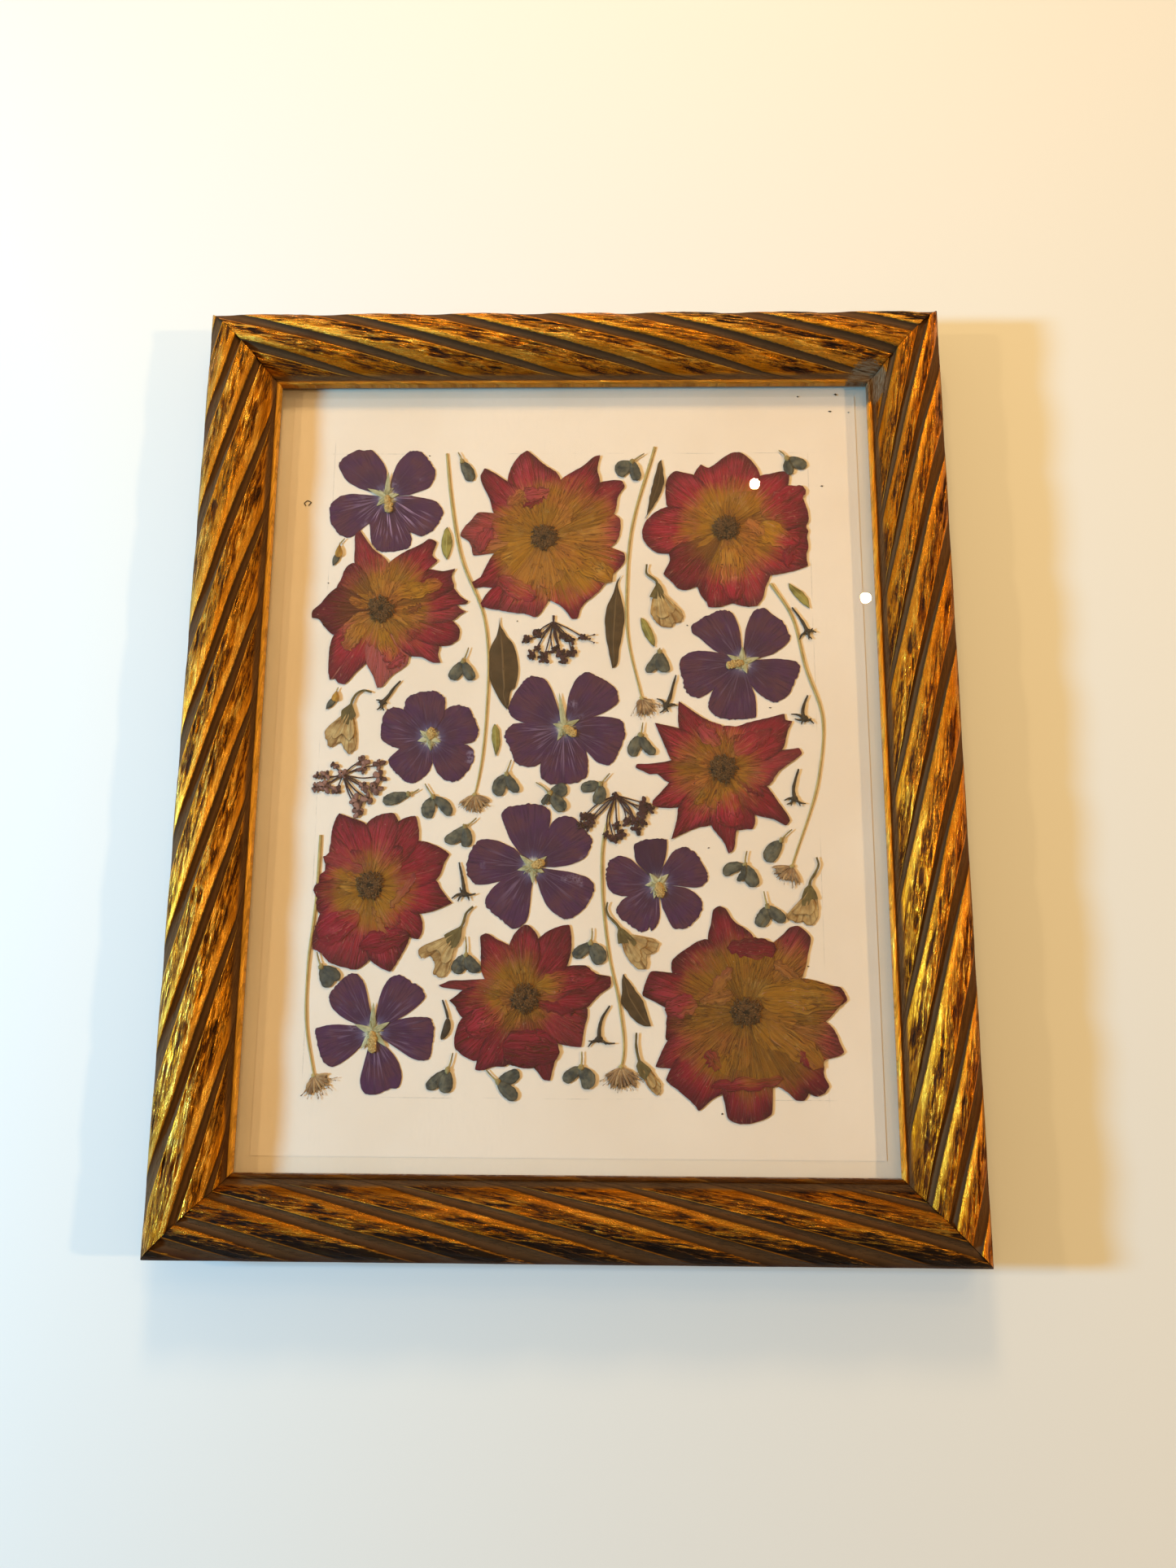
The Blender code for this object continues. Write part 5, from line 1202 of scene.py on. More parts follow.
# Each mallow: its middle, where its stamen column lies, the tips of its sepals, then its five
# petals as (share of light veins, points)
MALLOWS = {
    "mallow_top_left": ((-85, 121.5), (1.2, -6.2), ((.4, 12), (-9, 4), (5.5, 1.2), (-4.5, -4.5),
        (3, -4.5)), ((0, ((-13.1, 4.4), (-19.1, 8.3), (-23.1, 16.3), (-14.3, 23.3), (-10.7, 23.1),
        (-7.9, 23.4), (-5.6, 21.1), (-.6, 11.5), (-2, 7.9))), (0, ((2.4, 11.9), (4.4, 17.1), (11.1, 23.1),
        (15.1, 22.4), (18.3, 18.7), (21.9, 12.3), (19.9, 5.6), (10.3, 1))), (.9, ((11.1, .8),
        (23.9, -3.2), (25.8, -6), (21.9, -15.9), (16.7, -19.1), (11.1, -17.1))), (1, ((10.7, -15.9),
        (12.1, -21.1), (11.5, -23.9), (3.2, -26.4), (-2, -26.4), (-5.2, -23.9), (-7.6, -12.7))), (.3,
        ((-7.6, -12.7), (-17.1, -19.7), (-20.7, -18.3), (-24.6, -13.5), (-25.8, -3.6), (-22.3, 0),
        (-16.7, 1.6), (-11.9, 1.4))))),
    "mallow_right_upper": ((76, 42.5), (-5.5, -1.2), ((-6.5, 3.6), (.3, 7.5), (7.5, 2.4), (2, -5),
        (-3, -3)), ((.1, ((-8, 3.3), (-13.5, 6.8), (-19.1, 11.9), (-22.1, 14.1), (-22.3, 16.3),
        (-13.5, 22.7), (-8.7, 24.5), (-4.8, 23.8), (-.8, 15.1), (-.2, 10.3))), (0, ((1.2, 10.3),
        (2, 15.9), (7.2, 25), (10.3, 25.3), (13.9, 22.7), (18.3, 19.1), (21.5, 11.1), (14.3, 4.4),
        (8, 2.2))), (0, ((4.8, 1.4), (18.3, 1.7), (23.9, .4), (25.4, -1.2), (22.3, -10.3), (19.1, -15.9),
        (14.3, -18), (6.4, -13.5), (3.6, -9.9))), (.1, ((3.6, -10.3), (5.2, -14.3), (5.6, -24.6),
        (-12.7, -23.9), (-15.1, -21.1), (-13.5, -13.5), (-8.7, -7.2))), (.1, ((-9.5, -7.2),
        (-13.5, -12.6), (-19.9, -16.1), (-23.1, -15.1), (-25.8, -11.1), (-26.6, -6.4), (-27.8, -1.6),
        (-27, 2), (-23.9, 4.4), (-11.9, 4.9), (-6.4, 3.2))))),
    "mallow_middle_left": ((-61.5, 8), (.6, 3), ((-4.5, 3.4), (3.2, 2.4), (4.8, -1.8), (.4, -5.6),
        (-5.4, -1.4)), ((0, ((-9.9, 7.2), (-11.9, 13.1), (-11.1, 17.9), (3.2, 20.8), (5.6, 18.7),
        (6, 10.3))), (0, ((6, 12.7), (8.7, 14.5), (16.3, 13.9), (18.7, 10.3), (21.2, 2.4), (19.9, -.8),
        (11.1, -3.6))), (0, ((16.7, -3), (19.1, -5.2), (19.7, -7.9), (11.1, -19.5), (7.2, -18.7),
        (4, -15.9), (1.6, -11.1))), (.1, ((1.4, -11.1), (0, -15.1), (-8, -20.1), (-11.1, -18.9),
        (-13.9, -15.9), (-17.5, -11.9), (-17.9, -9.9), (-13.5, -4.9))), (.2, ((-13.1, -4.8),
        (-17.1, -3.6), (-21.1, -.8), (-19.1, 13.1), (-15.9, 14.1), (-11.9, 12.9))))),
    "mallow_middle": ((-2.5, 13), (3.8, -2.8), ((-2.4, 15.5), (6.5, 3.5), (4.5, -4), (-3, -6), (-5, 1.5)),
        ((0, ((-11.9, 2.4), (-18.3, 2.2), (-23.1, 4.8), (-25, 8), (-23.8, 11.9), (-14.7, 23.3),
        (-9.5, 22.3), (-4.8, 14.7), (-3.6, 9.5))), (0, ((1, 8), (1.6, 13.5), (6.8, 23.8), (9.5, 25.3),
        (13.5, 23.8), (23.1, 16.3), (23.7, 11.9), (15.9, 6), (8.7, 4))), (.1, ((9.5, 4.4), (15.9, 5),
        (25.4, 2.8), (26.6, -1.2), (19.1, -17.1), (15.1, -15.9), (8.7, -8.7))), (.4, ((8.7, -8),
        (10.3, -13.5), (9.5, -22.3), (5.6, -24.6), (0, -25.3), (-5.6, -25.4), (-9.5, -23.1),
        (-9.9, -15.1), (-6.4, -9.5))), (.3, ((-9.9, -15.9), (-12.7, -17.5), (-20.7, -16.3),
        (-22.7, -11.9), (-26.1, -2.4), (-24.2, .4), (-5.6, 1.2))))),
    "mallow_lower_middle": ((-15.5, -48.5), (3.6, 1.6), ((-5.5, 5), (6, 4.5), (5, -2.5), (.2, -7.5),
        (-6.5, -1.5)), ((0, ((-6, 6.4), (-9.5, 11.1), (-12.3, 17.5), (-13.9, 23.1), (-11.9, 25.4),
        (-7.2, 26.6), (4, 26.6), (6.8, 24.6), (6, 13.5), (4, 8))), (0, ((4.8, 8.7), (8.7, 19.9),
        (12.3, 22.1), (15.9, 21.9), (23.1, 15.1), (25.3, 11.9), (22.3, 4), (16.7, 1.2), (9.5, -.2))), (.1,
        ((3.2, -3.2), (8, -1.8), (19.9, -3.2), (24.6, -5.2), (26.4, -7.6), (19.9, -19.9), (14.7, -22.3),
        (6.4, -16.7), (3.6, -11.1))), (.2, ((0, -7.2), (-3.6, -24.6), (-6.8, -26.4), (-15.1, -21.1),
        (-19.5, -17.1), (-20, -14.7), (-13.5, -6), (-7.2, -2.8))), (.1, ((-8, -3.2), (-13.5, -6),
        (-25, -7.2), (-27.8, -4), (-26.2, 8), (-23.1, 11.5), (-17.5, 11.7), (-8, 8))))),
    "mallow_lower_right": ((38, -55.5), (1.2, -4.4), ((-3.4, 4.4), (4.6, 4), (4, -3.4), (-1.6, -6.4),
        (-5.4, -.8)), ((-.8, ((-4.8, 5.6), (-8.7, 8.7), (-9.7, 17.1), (-5.6, 18.7), (4, 19.1),
        (3.2, 10.3), (.8, 5.6))), (0, ((2.4, 7.2), (8, 14.7), (11.9, 15.7), (15.9, 13.5), (21.1, 1.2),
        (19.1, -.8), (6.4, -.8))), (0, ((5, -1.5), (11.9, -1.7), (18.7, -7.2), (18.9, -10.3),
        (11.9, -18.9), (7.2, -19.1), (2, -10.3))), (.2, ((.8, -8.7), (.8, -14.3), (-.8, -18.3),
        (-2.8, -19.9), (-3.6, -17.9), (-4.4, -19.9), (-6.8, -20.5), (-11.9, -17.5), (-16.3, -14.3),
        (-17.5, -11.1), (-15.9, -8), (-5.6, -2.4))), (.1, ((-7.2, -3.2), (-12.7, -5.4), (-17.9, -4.8),
        (-21.1, -2.4), (-20.3, 9.9), (-16.7, 11.8), (-12.7, 11.1), (-6.4, 5.6))))),
    "mallow_bottom_left": ((-81.5, -118), (.4, -6.6), ((-7.5, 3), (-4.5, -7), (7, 4), (6, -6), (0, 12)),
        ((.1, ((-4.8, 2.8), (-10.3, 4.4), (-18.4, 11.5), (-19.1, 14.7), (-15.9, 19.1), (-11.9, 23.1),
        (-8.3, 24.1), (-6.4, 22.7), (-1, 8))), (.2, ((1.6, 7.2), (2, 12.7), (7.2, 22.7), (10.3, 23.6),
        (14.7, 21.1), (19.9, 17.9), (21.6, 15.1), (11.1, 5.6), (5.6, 4))), (.2, ((8, 4.8), (19.9, 6.2),
        (23.8, 5.8), (25.6, 2.4), (25.4, -2.4), (23.8, -11.1), (20.7, -11.5), (4.8, -2.4))), (.3,
        ((3.2, -5.6), (8, -8), (12.9, -18.3), (11.9, -22.3), (7.2, -23.2), (4, -25), (-2.8, -24.6),
        (-4.1, -21.5), (-.4, -6.4))), (.2, ((-3.2, -4), (-7.2, -8.7), (-17.1, -14.3), (-20.7, -11.5),
        (-22.3, -7.2), (-23.8, 1.2), (-19.1, 2.5), (-4.8, 2.4))))),
}


def mallow_shells(column, sepals, petals, seed, thickness):
    """Five petals as fans with toothed rims, a star of narrow sepals and the knobbly column of
    stamens that lies over them to one side."""
    rng = np.random.default_rng(seed)
    level = MALLOW_LEVEL
    shells = []
    for number, (tone, points) in enumerate(petals):
        shells.append(fan(points, root_radius=1.4, rows=22, columns=84, low=level + 0.06,
                          high=level + 0.22, ragged=0.42, frill=4.2, fold=0.07, droop=0.1, tone=tone,
                          seed=seed + 9 * number, thickness=thickness))
    for number, tip in enumerate(sepals):
        tip = np.array(tip)
        shells.append(blade(-0.12 * tip, tip, min(2.6, 0.3 * np.hypot(*tip) + 0.9), level + 0.5,
                            belly=0.3, blunt=0.6, columns=7, rows=16, camber=0.14, fold=0.04,
                            seed=seed + 60 + number, thickness=thickness, finish=1,
                            tone=rng.uniform(-0.2, 0.6)))
    # The column runs to nine tenths of the way to where the photo shows its end, and a little past
    end = 0.9 * np.array(column)
    sideways = turned(end / np.hypot(*end), 90)
    for number, v in enumerate(np.linspace(0.15, 1.15, 7)):
        size = 1.05 + 0.75 * math.sin(min(v, 1.0) * 2.2)
        shells.append(lump((*end * v, level + 0.78), (size, size, 0.34), seed + 70 + number, 0.28,
                           rows=9, columns=14, finish=2, tone=rng.uniform(-0.2, 0.3)))
    for grain in range(58):
        v, off = rng.uniform(0.35, 1.3), rng.uniform(-1.7, 1.7)
        place = (*(end * v + sideways * off), level + 0.98 - 0.06 * abs(off))
        shells.append(lump(place, (0.42, 0.36, 0.24), seed + 100 + grain, 0.15, rows=5, columns=6,
                           finish=2, tone=rng.uniform(-0.7, 1.2)))
    shells.append(threads(16, (0, 0), 5.2, level + 0.62, 0.12, seed + 8, 0.1, curl=0.4))
    return shells


def mallow_finish(c):
    """Dark violet petal with finer dark veins, bluish and then pale at its root, where the veins are
    drawn in light lines. Petals with a higher tone have more of the light veins."""
    f = Finish("mallow_petal", 0.75, specular=0.1)
    across, along, distance = f.stored("petal")
    tone, margin = f.numbers("tone", "margin")
    place = f.place()
    veins = f.streaks(across * 6.5, along * 1.5, tone * 13.0, 2.0, 0.5, 0.2)
    hairs = f.streaks(across * 17.0, along * 3.0, tone * 29.0, 2.0, 0.5, 0.2)
    cloud = f.noise(place, 110.0, 4.0, 0.6)
    skin = f.noise(place, 1100.0, 3.0, 0.6)
    light = veins.rise(0.53, 0.64) * (tone.clip() * 0.75 + 0.1) * along.rise(1.0, 0.4)
    blue = (distance + (veins - 0.5) * 8.0).rise(8.0, 3.5)
    root = (distance + (veins - 0.5) * 5.0 + (cloud - 0.5) * 3.0).rise(4.6, 1.8)
    # Painted sheen: pale lilac patches on the petals
    sheen_patch = f.noise(place, 62.0, 2.0).rise(0.66, 0.76) * skin.rise(0.4, 0.6)
    colour = f.coats(
        c.violet,
        (linear(84, 45, 59), cloud.rise(0.38, 0.62)),
        (linear(56, 30, 56), (1 - along).rise(0.25, 0.75) * 0.7),
        (shade(c.violet, 0.55), (hairs.rise(0.5, 0.62) * 0.6 + veins.rise(0.5, 0.6) * 0.35).clip()),
        (linear(188, 150, 182), light * 0.75),
        (linear(104, 98, 136), blue * 0.4),
        (c.pale, root),
        (linear(198, 186, 136), distance.rise(3.8, 1.6) * 0.8),
        (shade(c.violet, 0.5), margin.rise(0.8, 0.05) * 0.5),
        (linear(150, 132, 156), sheen_patch * 0.5),
        (shade(c.violet, 0.45), (-tone).clip() * 0.8))
    return f.done(colour, 0.64 + skin * 0.2, veins * 0.6 + hairs * 0.6 + skin * 0.3, 0.5, 0.00025)


class FLOWERFRAME_OT_mallows(bpy.types.Operator):
    """Presses the seven mallows"""
    bl_idname = "flower_frame.mallows"
    bl_label = "Mallows"

    def execute(self, context):
        c = context.scene.flower_frame_flowers
        finishes = [mallow_finish(c),
                    dried_finish("sepal", linear(196, 188, 150), linear(128, 122, 80), linear(100, 98, 60),
                                 grain=(2, 1)),
                    dried_finish("stamen_column", linear(214, 178, 112), linear(112, 78, 38),
                                 linear(140, 98, 48), mottle_scale=1800.0)]
        for number, (name, (centre, column, sepals, petals)) in enumerate(MALLOWS.items()):
            shells = mallow_shells(column, sepals, petals, 5000 + 200 * number, c.petal_thickness / MM)
            press(name, centre, shells, finishes)
        return {"FINISHED"}


# ---- Leaves ----

# Each leaf: its middle, how many points its right side has, whether it is one of the small yellow
# ones, then its outline clockwise from the tip
LEAVES = {
    "leaf_broad": ((-30, 42.5), 11, False, ((-2, 21), (-1.5, 17), (1, 13), (5, 7), (6.5, 0), (6.5, -6),
        (5, -12), (4, -12.5), (3, -15), (3, -18.5), (2, -21.5), (0, -19), (-3, -14), (-5.5, -8),
        (-6.5, -3), (-6.5, 2), (-5.5, 8), (-3, 13))),
    "leaf_long": ((20.5, 61.5), 8, False, ((2, 22), (.5, 18), (2, 11), (3.3, 3), (2.8, -4), (1.5, -10),
        (-.8, -21), (-2, -21.5), (-3.5, -14), (-5, -6), (-5.3, 1), (-4, 8), (-1.5, 14), (.2, 19))),
    "leaf_top": ((37.5, 125.5), 6, False, ((3.5, 14), (4.3, 8), (4.6, 2.5), (2.5, -3), (-.5, -9),
        (-4.2, -15), (-2.8, -10), (-2, -4), (-.5, 2), (1, 8), (2.5, 13))),
    "leaf_lower_right": ((29, -104.5), 6, False, ((-5.5, 11), (-2, 6), (1.5, 1.5), (4, -4), (5, -8),
        (6, -10.5), (3, -10.5), (-1, -8), (-4.5, -4), (-6.5, -.5), (-6.3, 4), (-6.2, 9))),
    "leaf_small_left": ((-57, 99), 5, True, ((.3, 7.8), (2, 4), (2.7, 0), (2, -4), (.5, -8), (-1.5, -5),
        (-2.3, -1), (-1.8, 3), (-.5, 7))),
    "leaf_small_middle": ((-32.5, 7.5), 5, True, ((-.7, 7), (1, 5), (1.8, 1), (1.7, -3), (.2, -7.5),
        (-1.2, -3), (-1.8, 1), (-1.5, 5))),
    "leaf_small_right": ((34, 56.5), 6, True, ((-2.7, 7), (-1.2, 6.3), (.7, 3.7), (2.4, .2), (3.4, -3.2),
        (3.3, -6.8), (1.2, -4.6), (-1, -1.5), (-2.4, 2.2), (-2.9, 5.1))),
    "leaf_far_right": ((102, 74), 5, True, ((-4.6, 5.7), (-2.2, 4.2), (1.5, 1.5), (3.9, -1.7),
        (4.6, -6.3), (2.2, -4.6), (-.2, -2.2), (-2.7, .7), (-4.2, 3.7))),
}


def leaf_finish(name, light, dark, rib):
    """Dried leaf: mottled, with a pale midrib, side veins that leave it slanting and small spots."""
    f = Finish(name, 0.7, specular=0.1)
    across, along, _ = f.stored("petal")
    tone, margin = f.numbers("tone", "margin")
    place = f.place()
    cloud = f.noise(place, 160.0, 4.0, 0.6)
    skin = f.noise(place, 1300.0, 3.0, 0.6)
    away = abs(across - 0.5)
    slant = along * 26.0 + away * 9.0 + tone
    side_vein = slant.maths("PINGPONG", slant, 0.5).rise(0.12, 0.0) * (0.5 + cloud * 0.5)
    midrib = away.rise(0.05, 0.012)
    colour = f.coats(light,
                     (dark, cloud.rise(0.36, 0.64)),
                     (rib, side_vein * 0.25),
                     (rib, midrib * 0.6),
                     (shade(dark, 0.5), margin.rise(0.45, 0.05) * 0.6),
                     (shade(dark, 0.4), f.spots(place, 330.0, 0.2, 0.1, 210.0, 0.6, 0.66) * 0.7))
    return f.done(colour, 0.6 + skin * 0.22, midrib * 0.6 + side_vein * 0.4 + skin * 0.4, 0.5, 0.00025)


class FLOWERFRAME_OT_leaves(bpy.types.Operator):
    """Presses the eight leaves"""
    bl_idname = "flower_frame.leaves"
    bl_label = "Leaves"

    def execute(self, context):
        c = context.scene.flower_frame_flowers
        brown = leaf_finish("olive_brown_leaf", c.leaf, shade(c.leaf, 0.6), linear(120, 92, 60))
        yellow = leaf_finish("yellow_leaf", linear(158, 142, 72), linear(110, 96, 44), linear(186, 172, 104))
        for number, (name, (centre, right_count, small, outline)) in enumerate(LEAVES.items()):
            right = outline[:right_count]
            left = outline[:1] + outline[:right_count - 2:-1]
            shell = ruled(left, right, LEAF_LEVEL, columns=21, rows=60, camber=0.22, fold=0.1,
                          seed=900 + number, thickness=0.2, ragged=0.12 if small else 0.2)
            press(name, centre, [shell], [yellow if small else brown])
        return {"FINISHED"}


# ---- Daisies ----

BRACTS = 16
# Each daisy: its stem from the cut end to the head, the head's middle, its apex where the stem
# ends, its outline about the middle clockwise from the right of the stem, and how purple it is
DAISIES = {
    "daisy_left_middle": (((-58, 143), (-55.5, 121.5), (-49.5, 90.5), (-39.5, 65.5), (-37, 18.5),
        (-40.5, -14), (-41.2, -17.1)), (-41, -21.5), (-.2, 4.4), ((1.7, 4.1), (7.1, 1.2), (2.2, -3.4),
        (-1.2, -3.7), (-6.6, -.5), (-7.1, .7), (-4.6, 2.2), (-2.2, 3.9)), -.5),
    "daisy_right_middle": (((38, 146), (26.5, 101.5), (25, 79.5), (25.5, 54.5), (31.5, 26.2)), (33, 23),
        (-1.5, 3.2), ((.2, 3.4), (2.7, 2.7), (4.6, .7), (2.2, -5.1), (-1.2, -5.4), (-3.7, -3.2),
        (-4.1, -.7), (-3.2, 2.2)), .3),
    "daisy_far_right": (((89.5, 79.5), (98, 65.5), (104, 40), (110.5, 18.5), (108.5, -7), (95.4, -47.9)),
        (92.5, -52), (2.9, 4.1), ((4.1, 2.2), (6.6, -3.4), (-.7, -3.2), (-5.1, 1.2), (-6.1, 3.7),
        (-.7, 4.4)), .2),
    "daisy_far_left": (((-107.5, -35), (-108, -63), (-110, -90), (-109.5, -115), (-105.2, -135.9)),
        (-103.5, -140.5), (-1.7, 4.6), ((1.2, 4.6), (3.7, 3.7), (4.6, 5.4), (5.6, 1.7), (-3.9, -4.1),
        (-5.4, -2.7), (-3.7, 3.2)), .6),
    "daisy_lower_middle": (((19.5, -19.5), (15, -36), (14.5, -59.5), (17.5, -86.5), (22, -108),
        (23, -129.5), (22.5, -131.4)), (22, -136), (.5, 4.6), ((3.2, 3.9), (6.1, 2.2), (7.3, -.5),
        (7.1, -2.7), (.2, -5.6), (-6.1, -2.7), (-7.3, -.2), (-2.2, 3.4)), .1),
}


def daisy_shells(stem, head, apex, outline, tone, seed):
    """A long squeezed stem, then a head seen from the side: a dark fan from the apex under bracts
    that spread from the apex to the outline, and fine threads between them."""
    rng = np.random.default_rng(seed)
    apex, top = np.asarray(apex, float), LEAF_LEVEL - 0.1
    stem = stalk(stem, STEM_LEVEL, 0.72, taper=0.62, steps=110, wave=0.12, seed=seed)
    pieces = [fan(apex + 0.8 * (np.array(outline) - apex), root=apex, root_radius=0.5, columns=60, low=top,
                  high=top, ragged=0.5, frill=4.0, fold=0.08, tone=-0.2, seed=seed + 1, finish=2)]
    rim = smooth_line(outline, BRACTS + 4)[2:-2]
    for number, tip in enumerate(rim):
        reach = apex + (tip - apex) * rng.uniform(0.8, 1.06)
        pieces.append(blade(apex + (tip - apex) * 0.08, reach, rng.uniform(0.85, 1.15),
                            top + 0.2 + 0.1 * (number % 2), belly=0.62, blunt=0.5,
                            bend=rng.uniform(-0.35, 0.35), columns=5, rows=16, camber=0.16,
                            seed=seed + 10 + number, finish=1, tone=rng.uniform(-0.5, 0.6) + 0.2 * tone))
    # The threads spread from the last bract round to the first
    high, low = np.degrees(np.arctan2(*(rim[[0, -1]] - apex).T[::-1]))
    spread = (low - 360 if low > high else low, high)
    pieces.append(threads(46, apex, 1.12 * np.linalg.norm(rim - apex, axis=1).max(), top + 0.34, 0.1,
                          seed + 3, 0.07, spread=spread, inner=3.0, curl=0.15))
    pieces.append(lump((*apex, top + 0.2), (1.1, 0.9, 0.3), seed + 4, rows=7, columns=12))
    return [stem, *moved(pieces, head)]


class FLOWERFRAME_OT_daisies(bpy.types.Operator):
    """Presses the five long-stemmed daisies that have gone to seed"""
    bl_idname = "flower_frame.daisies"
    bl_label = "Daisies"

    def execute(self, context):
        c = context.scene.flower_frame_flowers
        finishes = [dried_finish("straw_stem", c.straw, shade(c.straw, 0.66), linear(150, 132, 74),
                                 grain=(2.0, 60.0), mottle_scale=260.0),
                    dried_finish("bract", linear(200, 160, 112), linear(84, 54, 42), linear(96, 62, 52),
                                 grain=(2, 1)),
                    dried_finish("seed_head", linear(80, 50, 40), linear(40, 24, 22), linear(130, 96, 74))]
        for number, (name, daisy) in enumerate(DAISIES.items()):
            press(name, (0, 0), daisy_shells(*daisy, 1300 + 50 * number), finishes)
        return {"FINISHED"}


# ---- Umbels ----

# Half the length, width and height of a seed
SEED_SIZE = (0.5, 0.42, 0.22)
# Each umbel: its middle, its stalk, its hub, its clusters as (x, y, radius), and the tips of the
# fine stalks that leave a cluster
UMBELS = {
    "umbel_upper": ((-5, 48), ((-2.8, 16.5), (-2.8, 13.5)), (-2.8, 13.5), ((-10.2, 8.3, 2.6),
        (-14.8, 5.2, 2.2), (-12.3, -2.5, 2.6), (-9.8, 1.2, 1.8), (-6.8, -3.1, 2.6), (-3, 0, 1.9),
        (.6, -1.8, 3), (1.8, -4.6, 2), (5.5, -1.2, 2.5), (2.2, 6.5, 2.3), (5.2, 4.6, 1.8), (10.5, 6.2, 2),
        (-.7, 2.2, 1.1)), ((15.4, 7.4), (15.4, 3.7), (13.5, 5.5))),
    "umbel_left": ((-96, -12.5), ((-3.1, 5.5), (-3.1, 4)), (-3.1, 4), ((-7.1, 8.3, 2.2), (5.2, 10.5, 3),
        (5.5, 6.5, 2.4), (12.6, 8.3, 2.8), (12.9, 3.4, 3.5), (-10.8, 4, 2.4), (-14.2, 3.4, 2),
        (-11.1, -1.2, 3), (-14.5, -1.8, 2.2), (-5.5, -2.8, 2.4), (6.2, -1.2, 2.5), (11.1, -1.8, 3.5),
        (3.4, -7.4, 3), (4.3, -11.7, 3.5), (8.3, -6.8, 3), (-3.1, 4, 2.4)), ()),
    "umbel_lower": ((20, -22.5), ((0, 6.8), (0, 5.2)), (0, 5.2), ((-10.5, -4.9, 2.4), (-13.5, -4, 2.2),
        (-12.3, -8, 2.4), (-15.4, -8, 1.8), (4.9, -6.2, 2.2), (8.6, -6.2, 2.2), (11.7, -6.8, 1.9),
        (9.2, -9.8, 2.3), (.5, -8, 2), (1.8, -11.7, 2.3), (-3.7, -12.3, 2), (-.6, -14.2, 2.3),
        (12.3, 1.8, 3), (11.7, -2.5, 3), (14.8, -.6, 2.2), (0, 5.2, 1.6)), ()),
}


def umbel_shells(stem, hub, clusters, tips, seed, mauve):
    """Thin rays from a hub to clusters. A cluster is some small crumpled petals around its middle
    and two dark seeds. Fine stalks, each with a seed, run from the last cluster but one to the tips."""
    rng = np.random.default_rng(seed)
    level = ROSE_LEVEL + 0.1
    shells = [stalk(stem, level, 0.55, taper=0.8, steps=8, seed=seed)]
    for number, (x, y, radius) in enumerate(clusters):
        away = np.array([x - hub[0], y - hub[1]], float)
        if np.hypot(*away) > 2.5:
            bow = turned(away, 90) * rng.uniform(-0.12, 0.12)
            shells.append(stalk((hub, hub + away * 0.55 + bow, (x, y)), level, 0.34, taper=0.8, steps=14,
                                seed=seed + number))
        petals = rng.integers(4, 7)
        for petal in range(petals):
            heading = 2 * math.pi * (petal + rng.uniform(-0.3, 0.3)) / petals
            reach = radius * rng.uniform(0.7, 1.35)
            ahead = np.array([math.cos(heading), math.sin(heading)])
            shells.append(blade((x, y) - 0.3 * ahead, (x, y) + reach * ahead,
                                radius * rng.uniform(0.55, 0.85), level + 0.16 + 0.09 * (petal % 3),
                                belly=0.55, blunt=0.45, bend=rng.uniform(-0.4, 0.4), columns=6, rows=10,
                                camber=0.15, fold=0.12, ragged=0.25, finish=int(mauve),
                                seed=seed + 20 * number + petal, tone=rng.uniform(-0.9, 1.0)))
        for bead in range(2):
            place = (x + rng.uniform(-0.5, 0.5) * radius, y + rng.uniform(-0.5, 0.5) * radius, level + 0.42)
            shells.append(lump(place, SEED_SIZE, seed + 400 + 3 * number + bead, rows=5, columns=8,
                               tone=rng.uniform(-0.8, 0.2)))
    for number, tip in enumerate(tips):
        shells.append(stalk((clusters[-2][:2], tip), level + 0.1, 0.16, steps=8, seed=seed + 700 + number,
                            sides=4))
        shells.append(lump((*tip, level + 0.15), SEED_SIZE, seed + 720 + number, rows=5, columns=8))
    return shells


class FLOWERFRAME_OT_umbels(bpy.types.Operator):
    """Presses the three umbels"""
    bl_idname = "flower_frame.umbels"
    bl_label = "Umbels"

    def execute(self, context):
        c = context.scene.flower_frame_flowers
        finishes = [dried_finish("umbel", shade(c.umbel, 1.25), shade(c.umbel, 0.45), linear(40, 26, 26),
                                 mottle_scale=700.0),
                    dried_finish("umbel_mauve", linear(158, 114, 100), linear(62, 35, 37), linear(84, 52, 50),
                                 rim=linear(74, 44, 42), veins=0.7, mottle_scale=700.0)]
        for number, (name, (centre, *umbel)) in enumerate(UMBELS.items()):
            shells = umbel_shells(*umbel, 2100 + 90 * number, name == "umbel_left")
            press(name, centre, shells, finishes)
        return {"FINISHED"}


# ---- Trumpets ----

